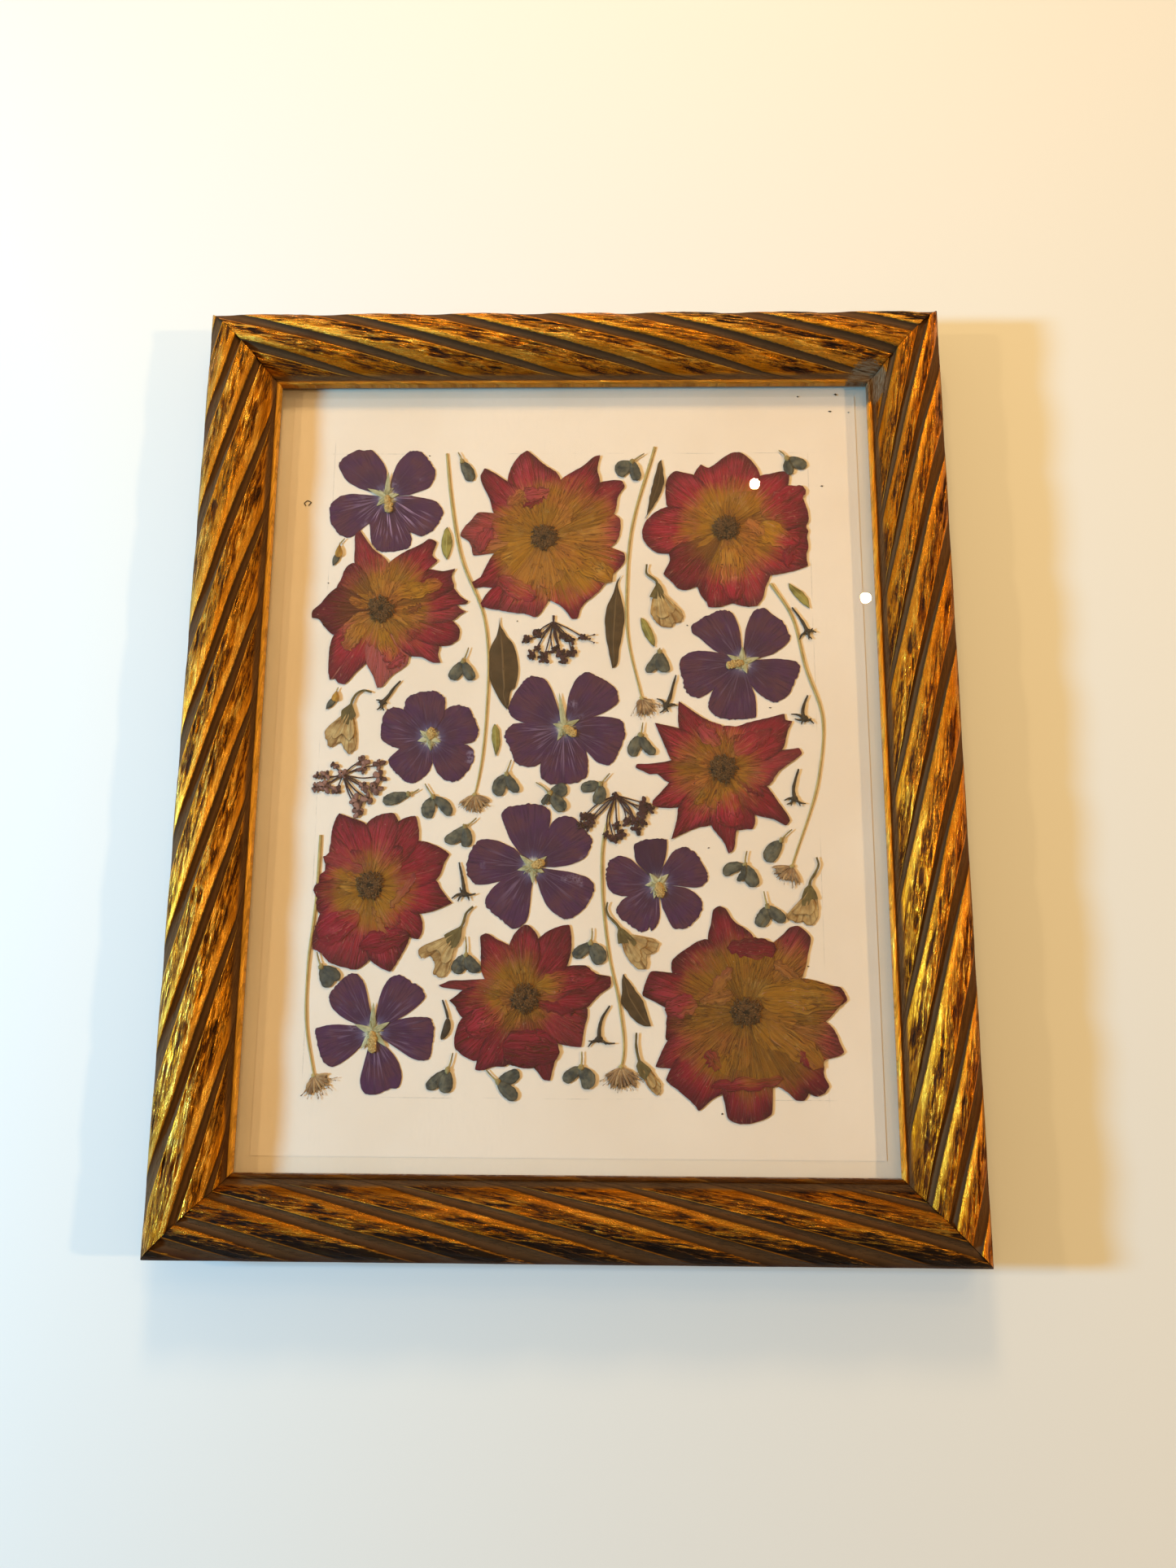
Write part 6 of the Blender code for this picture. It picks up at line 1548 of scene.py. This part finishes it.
# Each trumpet: its middle, its stalk, its calyx and its petals as outlines clockwise
TRUMPETS = {
    "trumpet_upper_right": ((40, 75), ((-6, 13.5), (-6.2, 9.5), (-1.5, 4.9)), ((-2.2, 4.9), (-.9, 4.6),
        (1.5, .6), (1.8, -3.4), (-4.8, -1.8), (-3.4, 1.2)), ((2.2, -4), (6.8, -5.8), (9.5, -8.6),
        (10.2, -11.7), (8.3, -14), (5.8, -14.2), (5.2, -15.7), (.9, -15.9), (-4.3, -9.8), (-3.7, -3.1))),
    "trumpet_left": ((-96, 16.5), ((8, 12.2), (4.3, 13.2), (1.2, 11.4), (-.6, 8)), ((-.9, 8), (0, 4.9),
        (1.4, 1.7), (.3, .3), (-1.8, -2.5), (-4, -1.8), (-4.9, 4), (-3.1, 5.5)), ((1.2, -1.2),
        (2.2, -6.8), (1.5, -13.5), (-.9, -15.7), (-3.1, -13.5), (-4.9, -10.5), (-9.5, -12.9), (-12, -5.5),
        (-9.8, -2.5), (-5.2, -.3))),
    "trumpet_lower_left": ((-49.5, -79), ((8.9, 13.4), (6.2, 10.8), (4.6, 5.8)), ((4.4, 4.9), (4, 0),
        (1.5, -4), (0, -4.3), (-3.1, 1.2), (3.7, 4.9)), ((1.2, -4.6), (0, -9.8), (-1.5, -14.8),
        (-4.3, -16.6), (-7.1, -14.8), (-6.8, -10.5), (-9.2, -7.4), (-12.6, -8.5), (-14.2, -5.5),
        (-11.1, -2.8), (-8, -2.5), (-2.8, -.6))),
    "trumpet_lower_middle": ((25, -76), ((-8.3, 12.5), (-8.9, 9.5), (-8, 7.1), (-4, 2.5)), ((-4, 2.5),
        (-1.2, .9), (4, -4.9), (2.5, -6.5), (-.6, -4.6), (-3.7, -5.2), (-4.3, -1.2)), ((4, -6.5),
        (6.8, -5.2), (8.3, -3.1), (9.8, -2.5), (13.4, -4.9), (11.1, -8.9), (8, -9.8), (8.5, -13.2),
        (7.4, -15.7), (5.5, -15.7), (-1.2, -8.6), (-2.2, -5.5))),
    "trumpet_far_right": ((102.5, -57.5), ((3.4, 13.5), (4.2, 10.5), (2.8, 7.1), (.3, 2.8)), ((.3, 2.8),
        (.9, 1.2), (2.5, -1.2), (3.4, -4.3), (.6, -4.6), (-.9, -7.1), (-3.4, -7.1), (-3.4, -3.7),
        (-2.2, 0)), ((3.3, -4.6), (3.6, -8.6), (2.5, -13.5), (-.6, -15.7), (-3.1, -14.2), (-6.8, -14),
        (-9.2, -12.9), (-10, -11.1), (-2.8, -7.7))),
    "trumpet_bottom": ((33, -130), ((-4.2, 12.3), (-4.3, 6.8), (-3.4, 2.2)), ((-3.7, 1.8), (1.8, -2.5),
        (-.9, -6.8), (-2.5, -5.5), (-4.4, -1.2)), ((1.8, -2.5), (6, -9.2), (5.8, -11.7), (4.3, -12.6),
        (0, -8.6), (-.9, -6.2))),
}


def trumpet_shells(stem, calyx, petals, seed):
    """Stalk, calyx and two layers of crumpled petals, all fans from where the stalk ends."""
    level, neck, middle = LEAF_LEVEL, np.array(stem[-1], float), np.mean(calyx, axis=0)
    cup = fan(calyx, root=neck * 0.9 + middle * 0.1, root_radius=0.3, rows=16, columns=44,
              low=level + 0.5, high=level + 0.5, ragged=0.1, fold=0.12, tip_rise=-0.1, tone=-0.1,
              seed=seed, finish=1)
    root = middle * 0.55 + neck * 0.45
    under = fan(petals, root=root, root_radius=0.5, rows=22, columns=72, low=level + 0.05,
                high=level + 0.2, ragged=0.45, fold=0.2, tone=-0.1, seed=seed + 1)
    inner_line = root + (smooth_line(petals, 24) - root) * np.linspace(0.62, 0.9, 24)[:, None]
    over = fan(inner_line[4:17], root=root, root_radius=0.5, rows=16, columns=40, low=level + 0.3,
               high=level + 0.42, ragged=0.3, fold=0.16, tone=0.35, seed=seed + 2)
    line = np.vstack([stem, neck * 0.62 + middle * 0.38])
    return [stalk(line, level + 0.25, 0.42, taper=1.5, steps=20, wave=0.1, seed=seed, finish=1),
            under, over, cup]


class FLOWERFRAME_OT_trumpets(bpy.types.Operator):
    """Presses the six cream tubular flowers"""
    bl_idname = "flower_frame.trumpets"
    bl_label = "Trumpets"

    def execute(self, context):
        c = context.scene.flower_frame_flowers
        finishes = [dried_finish("cream_petal", c.cream, linear(132, 90, 46), linear(104, 66, 32),
                                 rim=linear(112, 76, 42), grain=(1.6, 1.0), veins=0.85, mottle=0.8,
                                 mottle_scale=240.0),
                    dried_finish("olive_calyx", linear(122, 104, 62), linear(70, 56, 34), linear(62, 48, 30),
                                 grain=(3.0, 1.0), mottle_scale=320.0)]
        for number, (name, (centre, *trumpet)) in enumerate(TRUMPETS.items()):
            press(name, centre, trumpet_shells(*trumpet, 2600 + 40 * number), finishes)
        return {"FINISHED"}


# ---- Florets, calyxes and crumbs, which have no CAD node of their own ----

# Each floret: middle, stalk tip, joint, then its petals as (tip x, tip y, width, tone)
FLORETS = (
    ((-50, 136.5), (-2.8, 6.9), (-.9, 2.5), ((4, -7.3, 5.5, -.1),)),
    ((28.5, 137.5), (4.6, 5), (-1, 1.1), ((-7.5, -5.7, 7, 0), (1.2, -8.4, 5, -.3))),
    ((99.5, 140), (-4.7, 3.9), (-1.1, -.2), ((7.9, -4, 5.5, .1), (.5, -8.1, 4.5, -.3))),
    ((-47.5, 42.5), (2, 6.9), (-.2, .6), ((-5.7, -7.8, 5.5, 0), (4.1, -8.1, 5, -.2))),
    ((39, 45.5), (.7, 3.7), (.5, 2.1), ((-5.2, -7.5, 4.5, 0), (3.5, -7.5, 6, -.1))),
    ((31.5, 8.5), (.5, 6.7), (-.4, 1), ((-4.5, -8.6, 5.5, .1), (5.6, -7.7, 4.5, -.2))),
    ((-27, -9.5), (1.5, 7.8), (-.5, 1.5), ((-4.4, -8.3, 6, -.1), (4.6, -6.6, 4.5, -.3))),
    ((-8.5, -17), (-6.1, 5.3), (-.1, .4), ((7.5, 3.2, 6, -.3), (6.4, -7.2, 6, 0), (-3.1, -4.5, 3, -.5))),
    ((13, -13), (4.5, 5.4), (.6, .7), ((-8.1, -1.7, 5, -.2), (-1.3, -8.3, 5.5, 0))),
    ((-73, -18.5), (7.6, 3.7), (2.9, 1.4), ((-8.2, -1.9, 5.5, .1),)),
    ((-58.5, -19.5), (-4.5, 7.1), (-.7, 1.4), ((-3.2, -8.2, 6, 0), (7.2, -6.8, 5, -.1))),
    ((-45.5, -32), (5.4, 4.6), (.5, .8), ((-7.9, -6, 5.5, .1), (1.1, -8.2, 5, -.2))),
    ((89.5, -38.5), (6.3, 6.5), (1.5, 1.6), ((-5, -7.4, 6.5, .1),)),
    ((74, -48.5), (2.3, 7.1), (1.4, 1.1), ((-8.1, -2.7, 5, -.1), (5.8, -8.2, 6, .1), (-1.9, -6, 3, -.5))),
    ((-104, -92), (-2.5, 6.9), (-.3, .7), ((3.5, -7.8, 6, -.4), (7.8, -4.3, 5, -.5))),
    ((-43, -85.5), (-.5, 7.2), (-.2, -.4), ((-4.8, -8.2, 6, 0), (5.6, -7.5, 5.5, -.3))),
    ((85, -65.5), (-1.9, 6.9), (-.5, .4), ((-4.4, -8.1, 6, .1), (6.8, -5.9, 5, -.2))),
    ((9, -82), (1.1, 7.5), (.7, 1.2), ((-6.9, -4.5, 5, -.2), (5.3, -7.5, 7, 0))),
    ((-51.5, -134), (4, 7.7), (2, .7), ((-6.5, -7, 5, -.1), (.9, -8.6, 6, 0))),
    ((-27.5, -138), (-6, 4.9), (-1.1, .2), ((7.8, 4, 5.5, -.3), (6.8, -6.9, 5.5, -.2))),
    ((5, -132.5), (1.1, 7), (.9, .8), ((-6.4, -5, 5, .1), (4.2, -8, 6.5, 0))),
)
# Buds: middle, stalk tip, foot of the ochre part, its end, and the end of the blue tip
BUDS = (
    ((-105.5, 95), (2.1, 6.2), (-.1, 3.6), (-.4, -2.9), (-2.8, -6.8)),
    ((-104.5, 26.5), (1.5, 4.5), (.9, 3.2), (.3, -2), (-3.5, -5.5)),
)
# Calyxes: middle, stalk and body line, its end, and the tips of its arms
CALYXES = (
    ((-80, 27.5), ((4.6, 6.6), (1.7, 3.2), (-.5, -.2), (-3.2, -3.4)), ((-5.9, -2.2), (-5.4, -6.8),
        (-2.2, -7.1), (-1, -3.9))),
    ((44, 27.5), ((2.7, 9.3), (1.2, 4.1), (-.2, -1.2), (-1.7, -4.6)), ((-5.9, -1.5), (-4.6, -8),
        (-.7, -7.6), (3.4, -4.9), (2, -3.9))),
    ((102.5, 61), ((-3.8, 7.1), (-1, 3.2), (1.5, -1.2), (2.7, -4.1)), ((-1, -7.8), (3.2, -7.8),
        (4.6, -7.6), (6.6, -4.6), (5.1, -2.7))),
    ((103, 21), ((1.5, 6.6), (-.2, 2.7), (-1, -1.2), (-.2, -4.1)), ((-6.1, -2), (-4.6, -4.1),
        (-1.7, -6.6), (3.7, -6.3), (2.7, -4.1))),
    ((98, -14), ((1.5, 8.5), (0, 4.1), (-1, -.2), (-.7, -4.6)), ((-5.1, -5.4), (-4.1, -7.1), (-2.2, -7.6),
        (1.7, -7.8), (4.1, -6.8))),
    ((-45.5, -55.5), ((-1.6, 8.8), (-.5, 4.1), (.5, -1.2), (1, -4.6)), ((-4.4, -6.8), (-1, -2),
        (-1.7, -8), (3.2, -7.6), (5.9, -4.6))),
    ((15, -116), ((2.7, 9.3), (-.7, 3.7), (-1.7, -.7), (-1.7, -4.4)), ((-6.3, -7.6), (-6.1, -5.1),
        (4.9, -6), (1.2, -6.6))),
)
POD = ((-52, -111.5), ((-.5, 6.8), (1, 2.7), (2, -.7)), (2.1, -.7), (-.6, -9.6))
# How far from the middle the flower sheet ends, to the left and right
SHEET_EDGE = 129
# Crumbs of dry petal on the paper: place and size
CRUMBS = (
    (122, 172, 1), (104.5, 171, .7), (119, 163.5, .8), (127.5, 163, .6), (114, 126.5, .8), (137, 95, .8),
    (88, 22, .7), (-98, 46, .6), (-70, -84, .7), (60, -40, .5), (8, 30, .5), (-110, 80, .5),
    (-62, 60, .6), (44, -22, .5), (64, -150, .7), (-24, 62, .5), (101, -90, .5), (-98, 97, .6),
    (-66, 142, .5), (52, 60, .5),
)
CURL = ((-121, 117.5), (-119.8, 119), (-121.6, 119.9), (-123, 118.6), (-122.2, 117.4))


def floret_shells(tip, joint, petals, seed):
    """A stalk, a knob where it ends, and one to three broad blades that spread from there."""
    rng = np.random.default_rng(seed)
    level = LEAF_LEVEL
    tip, joint = np.array(tip), np.array(joint)
    middle = tip * 0.45 + joint * 0.55 + rng.uniform(-0.4, 0.4, 2)
    shells = [stalk((tip, middle, joint), level + 0.25, 0.28, taper=1.6, steps=14, seed=seed, finish=1),
              lump((*joint, level + 0.35), (1.1, 1.3, 0.3), seed + 1, 0.35, rows=7, columns=12, finish=1,
                   tone=-0.3)]
    for k, (x, y, width, tone) in enumerate(petals):
        shells.append(blade(joint, (x, y), width, level + 0.05 + 0.22 * k, belly=0.6, blunt=0.5,
                            bend=rng.uniform(-1.1, 1.1), columns=17, rows=30, camber=0.3, fold=0.14,
                            ragged=0.16, seed=seed + 3 + k, tone=tone))
    return shells


def bud_shells(tip, foot, middle, end, seed):
    """A stalk, an ochre blade on it and a blue one that comes out from under that."""
    level = LEAF_LEVEL
    blue_foot = np.array(middle) * 0.6 + np.array(foot) * 0.4
    return [stalk((tip, foot), level + 0.2, 0.25, taper=1.6, steps=8, seed=seed, finish=1),
            blade(foot, middle, 3.4, level + 0.3, belly=0.7, blunt=0.8, columns=11, rows=22, camber=0.25,
                  fold=0.14, seed=seed + 1, finish=2),
            blade(blue_foot, end, 2.9, level + 0.05, belly=0.45, blunt=0.9, columns=11, rows=22,
                  camber=0.2, fold=0.12, seed=seed + 2, tone=-0.1)]


def calyx_shells(line, arms, seed):
    """A body that thickens to a knob, and thin arms that spread from there."""
    level, end = CALYX_LEVEL, np.array(line[-1], float)
    shells = [stalk(line, level, 0.36, taper=2.4, steps=26, wave=0.08, seed=seed),
              lump((*end, level), (1.5, 1.3, 0.34), seed + 1, 0.35, rows=7, columns=12)]
    for k, tip in enumerate(arms):
        bow = (np.array(tip) - end)[::-1] * [0.12, -0.12] * (-1) ** k
        middle = end * 0.45 + np.array(tip) * 0.55 + bow
        shells.append(stalk((end, middle, tip), level + 0.06 * k, 0.72, taper=0.32, steps=12,
                            seed=seed + 2 + k, tone=-0.2))
    return shells


class FLOWERFRAME_OT_florets(bpy.types.Operator):
    """Presses the slate-blue florets and the two buds"""
    bl_idname = "flower_frame.florets"
    bl_label = "Florets and buds"

    def execute(self, context):
        c = context.scene.flower_frame_flowers
        slate, ash = shade(c.slate, 0.5), shade(c.slate, 0.4)
        finishes = [
            dried_finish("slate_floret", linear(108, 102, 84), slate, ash, rim=linear(58, 52, 44),
                         grain=(4.0, 1.4), veins=0.4, mottle=1.1, mottle_scale=300.0),
            dried_finish("floret_stalk", linear(190, 166, 108), linear(112, 92, 56), linear(96, 78, 44)),
            dried_finish("ochre_bud", linear(196, 142, 56), linear(120, 82, 34), linear(104, 70, 32))]
        for number, (centre, *floret) in enumerate(FLORETS):
            shells = floret_shells(*floret, 3100 + 30 * number)
            press(f"floret_{number + 1:02d}", centre, shells, finishes, replaces=False)
        for number, (centre, *bud) in enumerate(BUDS):
            shells = bud_shells(*bud, 3900 + 30 * number)
            press(f"bud_{number + 1}", centre, shells, finishes, replaces=False)
        return {"FINISHED"}


class FLOWERFRAME_OT_calyxes(bpy.types.Operator):
    """Presses the dark empty calyxes and the pod, and scatters the crumbs"""
    bl_idname = "flower_frame.calyxes"
    bl_label = "Calyxes and crumbs"

    def execute(self, context):
        dark = [dried_finish("dark_calyx", linear(76, 62, 50), linear(34, 26, 22), linear(28, 22, 18),
                             mottle_scale=600.0)]
        for number, (centre, line, arms) in enumerate(CALYXES):
            shells = calyx_shells(line, arms, 4300 + 20 * number)
            press(f"calyx_{number + 1}", centre, shells, dark, replaces=False)
        centre, line, foot, end = POD
        pod = [stalk(line, CALYX_LEVEL, 0.32, taper=1.8, steps=16, seed=4500),
               blade(foot, end, 3.2, CALYX_LEVEL, belly=0.45, columns=11, rows=24, camber=0.3, fold=0.1,
                     seed=4501, bend=0.7)]
        press("pod", centre, pod, dark, replaces=False)
        # Crumbs beyond the flower sheet lie on the sheet under it
        low = SHEET_TOP + 0.12
        crumbs = [lump((x, y, low if abs(x) < SHEET_EDGE else low - 0.55), (0.7 * size, 0.45 * size, 0.1),
                       4600 + k, 0.5, rows=5, columns=8, tone=-0.2) for k, (x, y, size) in enumerate(CRUMBS)]
        crumbs.append(stalk(CURL, low + 0.1, 0.2, steps=16, seed=4700))
        write_piece("crumbs", crumbs, dark)
        return {"FINISHED"}


# ---- Stage ----

# Lamps: name, azimuth from +X and elevation in degrees, distance and size in metres, share of the
# light on a level sheet, and whether it is daylight
LAMPS = (
    ("window_left", 184.0, 28.0, 1.3, 0.145, 0.6, True),
    ("lamp_left", 176.0, 39.5, 1.4, 0.06, 0.09, False),
    ("lamp_right", -4.0, 38.0, 1.4, 0.06, 0.18, False),
    ("lamp_top", 92.0, 37.5, 1.0, 0.20, 0.24, False),
)
# Two small ceiling lamps whose reflections show on the glass: place on the glass in millimetres
CEILING_LAMPS = ((83.0, 126.0), (131.0, 71.5))
CEILING_SHARE = 0.035
CEILING_DISTANCE, CEILING_SIZE, CEILING_ELEVATION = 1.3, 0.016, math.radians(63)
ROOM_SHARE, ROOM_TILT = 0.337, 0.85
SENSOR_WIDTH, NEAR_CLIP = 36.0, 0.01


def lamp_power(share, distance, elevation):
    """Watts that a lamp needs to add a share of white to a level white sheet under it: the share
    times pi squared times the distance squared, over the sine of the elevation."""
    return share * math.pi ** 2 * distance ** 2 / math.sin(elevation)


class FLOWERFRAME_OT_stage(bpy.types.Operator):
    """Lays the floor and sets the lamps and the camera"""
    bl_idname = "flower_frame.stage"
    bl_label = "Floor, light and camera"

    def execute(self, context):
        studio = context.scene.flower_frame_studio
        self.lay_floor(studio)
        self.set_lamps(studio)
        self.set_camera(studio)
        return {"FINISHED"}

    def lay_floor(self, studio):
        half, depth = 2.5, 0.02
        square = ((-half, -half), (half, -half), (half, half), (-half, half))
        corners = [(x, y, z) for z in (-depth, 0.0) for x, y in square]
        sides = [(i, (i + 1) % 4, (i + 1) % 4 + 4, i + 4) for i in range(4)]
        mesh = bpy.data.meshes.new("floor")
        mesh.from_pydata(corners, [], [(3, 2, 1, 0), (4, 5, 6, 7), *sides])
        f = Finish("plain_floor", 0.8, specular=0.2)
        f.feed("Base Color", f.mix(studio.floor, shade(studio.floor, 0.985), f.noise(f.place(), 3.0, 2.0)))
        mesh.materials.append(f.material)
        new_object("floor", mesh)

    def set_lamps(self, studio):
        bpy.context.scene.world = self.room(studio.warm)
        for name, azimuth, elevation, distance, size, share, daylight in LAMPS:
            rise, turn = math.radians(elevation), math.radians(azimuth)
            level = math.cos(rise)
            place = Vector((level * math.cos(turn), level * math.sin(turn), math.sin(rise))) * distance
            self.hang(name, place, size, lamp_power(share, distance, rise),
                      studio.cool if daylight else studio.warm)
        eye = Vector(studio.camera_place)
        power = lamp_power(CEILING_SHARE, CEILING_DISTANCE, CEILING_ELEVATION)
        for number, (x, y) in enumerate(CEILING_LAMPS):
            seen = Vector((x, y, GLASS_TOP)) * MM
            ray = (seen - eye).normalized()
            place = seen + Vector((ray.x, ray.y, -ray.z)) * CEILING_DISTANCE
            self.hang(f"ceiling_lamp_{number}", place, CEILING_SIZE, power, studio.warm)

    def hang(self, name, place, size, power, colour):
        """Hangs a round lamp at a place, facing the middle of the frame."""
        light = bpy.data.lights.new(name, "AREA")
        light.shape, light.size, light.energy, light.color = "DISK", size, power, colour
        lamp = new_object(name, light)
        lamp.location = place
        lamp.rotation_euler = (-place).to_track_quat("-Z", "Y").to_euler()

    def room(self, colour):
        """Soft light from all round: the share times one plus the tilt times the direction's y."""
        world = bpy.data.worlds.new("room")
        world.use_nodes = True
        nodes, links = world.node_tree.nodes, world.node_tree.links
        background = nodes["Background"]
        background.inputs["Color"].default_value = (*colour, 1.0)
        direction, parts = nodes.new("ShaderNodeTexCoord"), nodes.new("ShaderNodeSeparateXYZ")
        ramp = nodes.new("ShaderNodeMath")
        ramp.operation = "MULTIPLY_ADD"
        ramp.inputs[1].default_value, ramp.inputs[2].default_value = ROOM_SHARE * ROOM_TILT, ROOM_SHARE
        links.new(direction.outputs["Generated"], parts.inputs[0])
        links.new(parts.outputs[1], ramp.inputs[0])
        links.new(ramp.outputs[0], background.inputs["Strength"])
        return world

    def set_camera(self, studio):
        camera = bpy.data.cameras.new("camera")
        camera.lens, camera.sensor_width, camera.clip_start = studio.lens, SENSOR_WIDTH, NEAR_CLIP
        eye = new_object("camera", camera)
        eye.location = studio.camera_place
        eye.rotation_euler = Euler(studio.camera_turn, "XYZ")
        scene = bpy.context.scene
        scene.camera = eye
        scene.view_settings.view_transform = "Standard"
        scene.view_settings.look = "None"


OPERATORS = (
    FLOWERFRAME_OT_rails,
    FLOWERFRAME_OT_glazing,
    FLOWERFRAME_OT_hardware,
    FLOWERFRAME_OT_roses,
    FLOWERFRAME_OT_mallows,
    FLOWERFRAME_OT_leaves,
    FLOWERFRAME_OT_daisies,
    FLOWERFRAME_OT_umbels,
    FLOWERFRAME_OT_trumpets,
    FLOWERFRAME_OT_florets,
    FLOWERFRAME_OT_calyxes,
    FLOWERFRAME_OT_stage,
)


class FLOWERFRAME_PT_panel(bpy.types.Panel):
    """Sizes, colours and the steps that build the frame"""
    bl_label = "Flower frame"
    bl_idname = "FLOWERFRAME_PT_panel"
    bl_space_type = "VIEW_3D"
    bl_region_type = "UI"
    bl_category = "Flower frame"

    def draw(self, context):
        for group_name, group in SETTINGS.items():
            box = self.layout.box()
            settings = getattr(context.scene, group_name)
            for key in group.__annotations__:
                box.prop(settings, key)
        for operator in OPERATORS:
            self.layout.operator(operator.bl_idname)


CLASSES = (*SETTINGS.values(), *OPERATORS, FLOWERFRAME_PT_panel)


def register():
    for cls in CLASSES:
        bpy.utils.register_class(cls)
    for name, group in SETTINGS.items():
        setattr(bpy.types.Scene, name, bpy.props.PointerProperty(type=group))


def unregister():
    for name in SETTINGS:
        delattr(bpy.types.Scene, name)
    for cls in reversed(CLASSES):
        bpy.utils.unregister_class(cls)


def main():
    register()
    for operator in OPERATORS:
        group, name = operator.bl_idname.split(".")
        getattr(getattr(bpy.ops, group), name)()


if __name__ == "__main__":
    main()
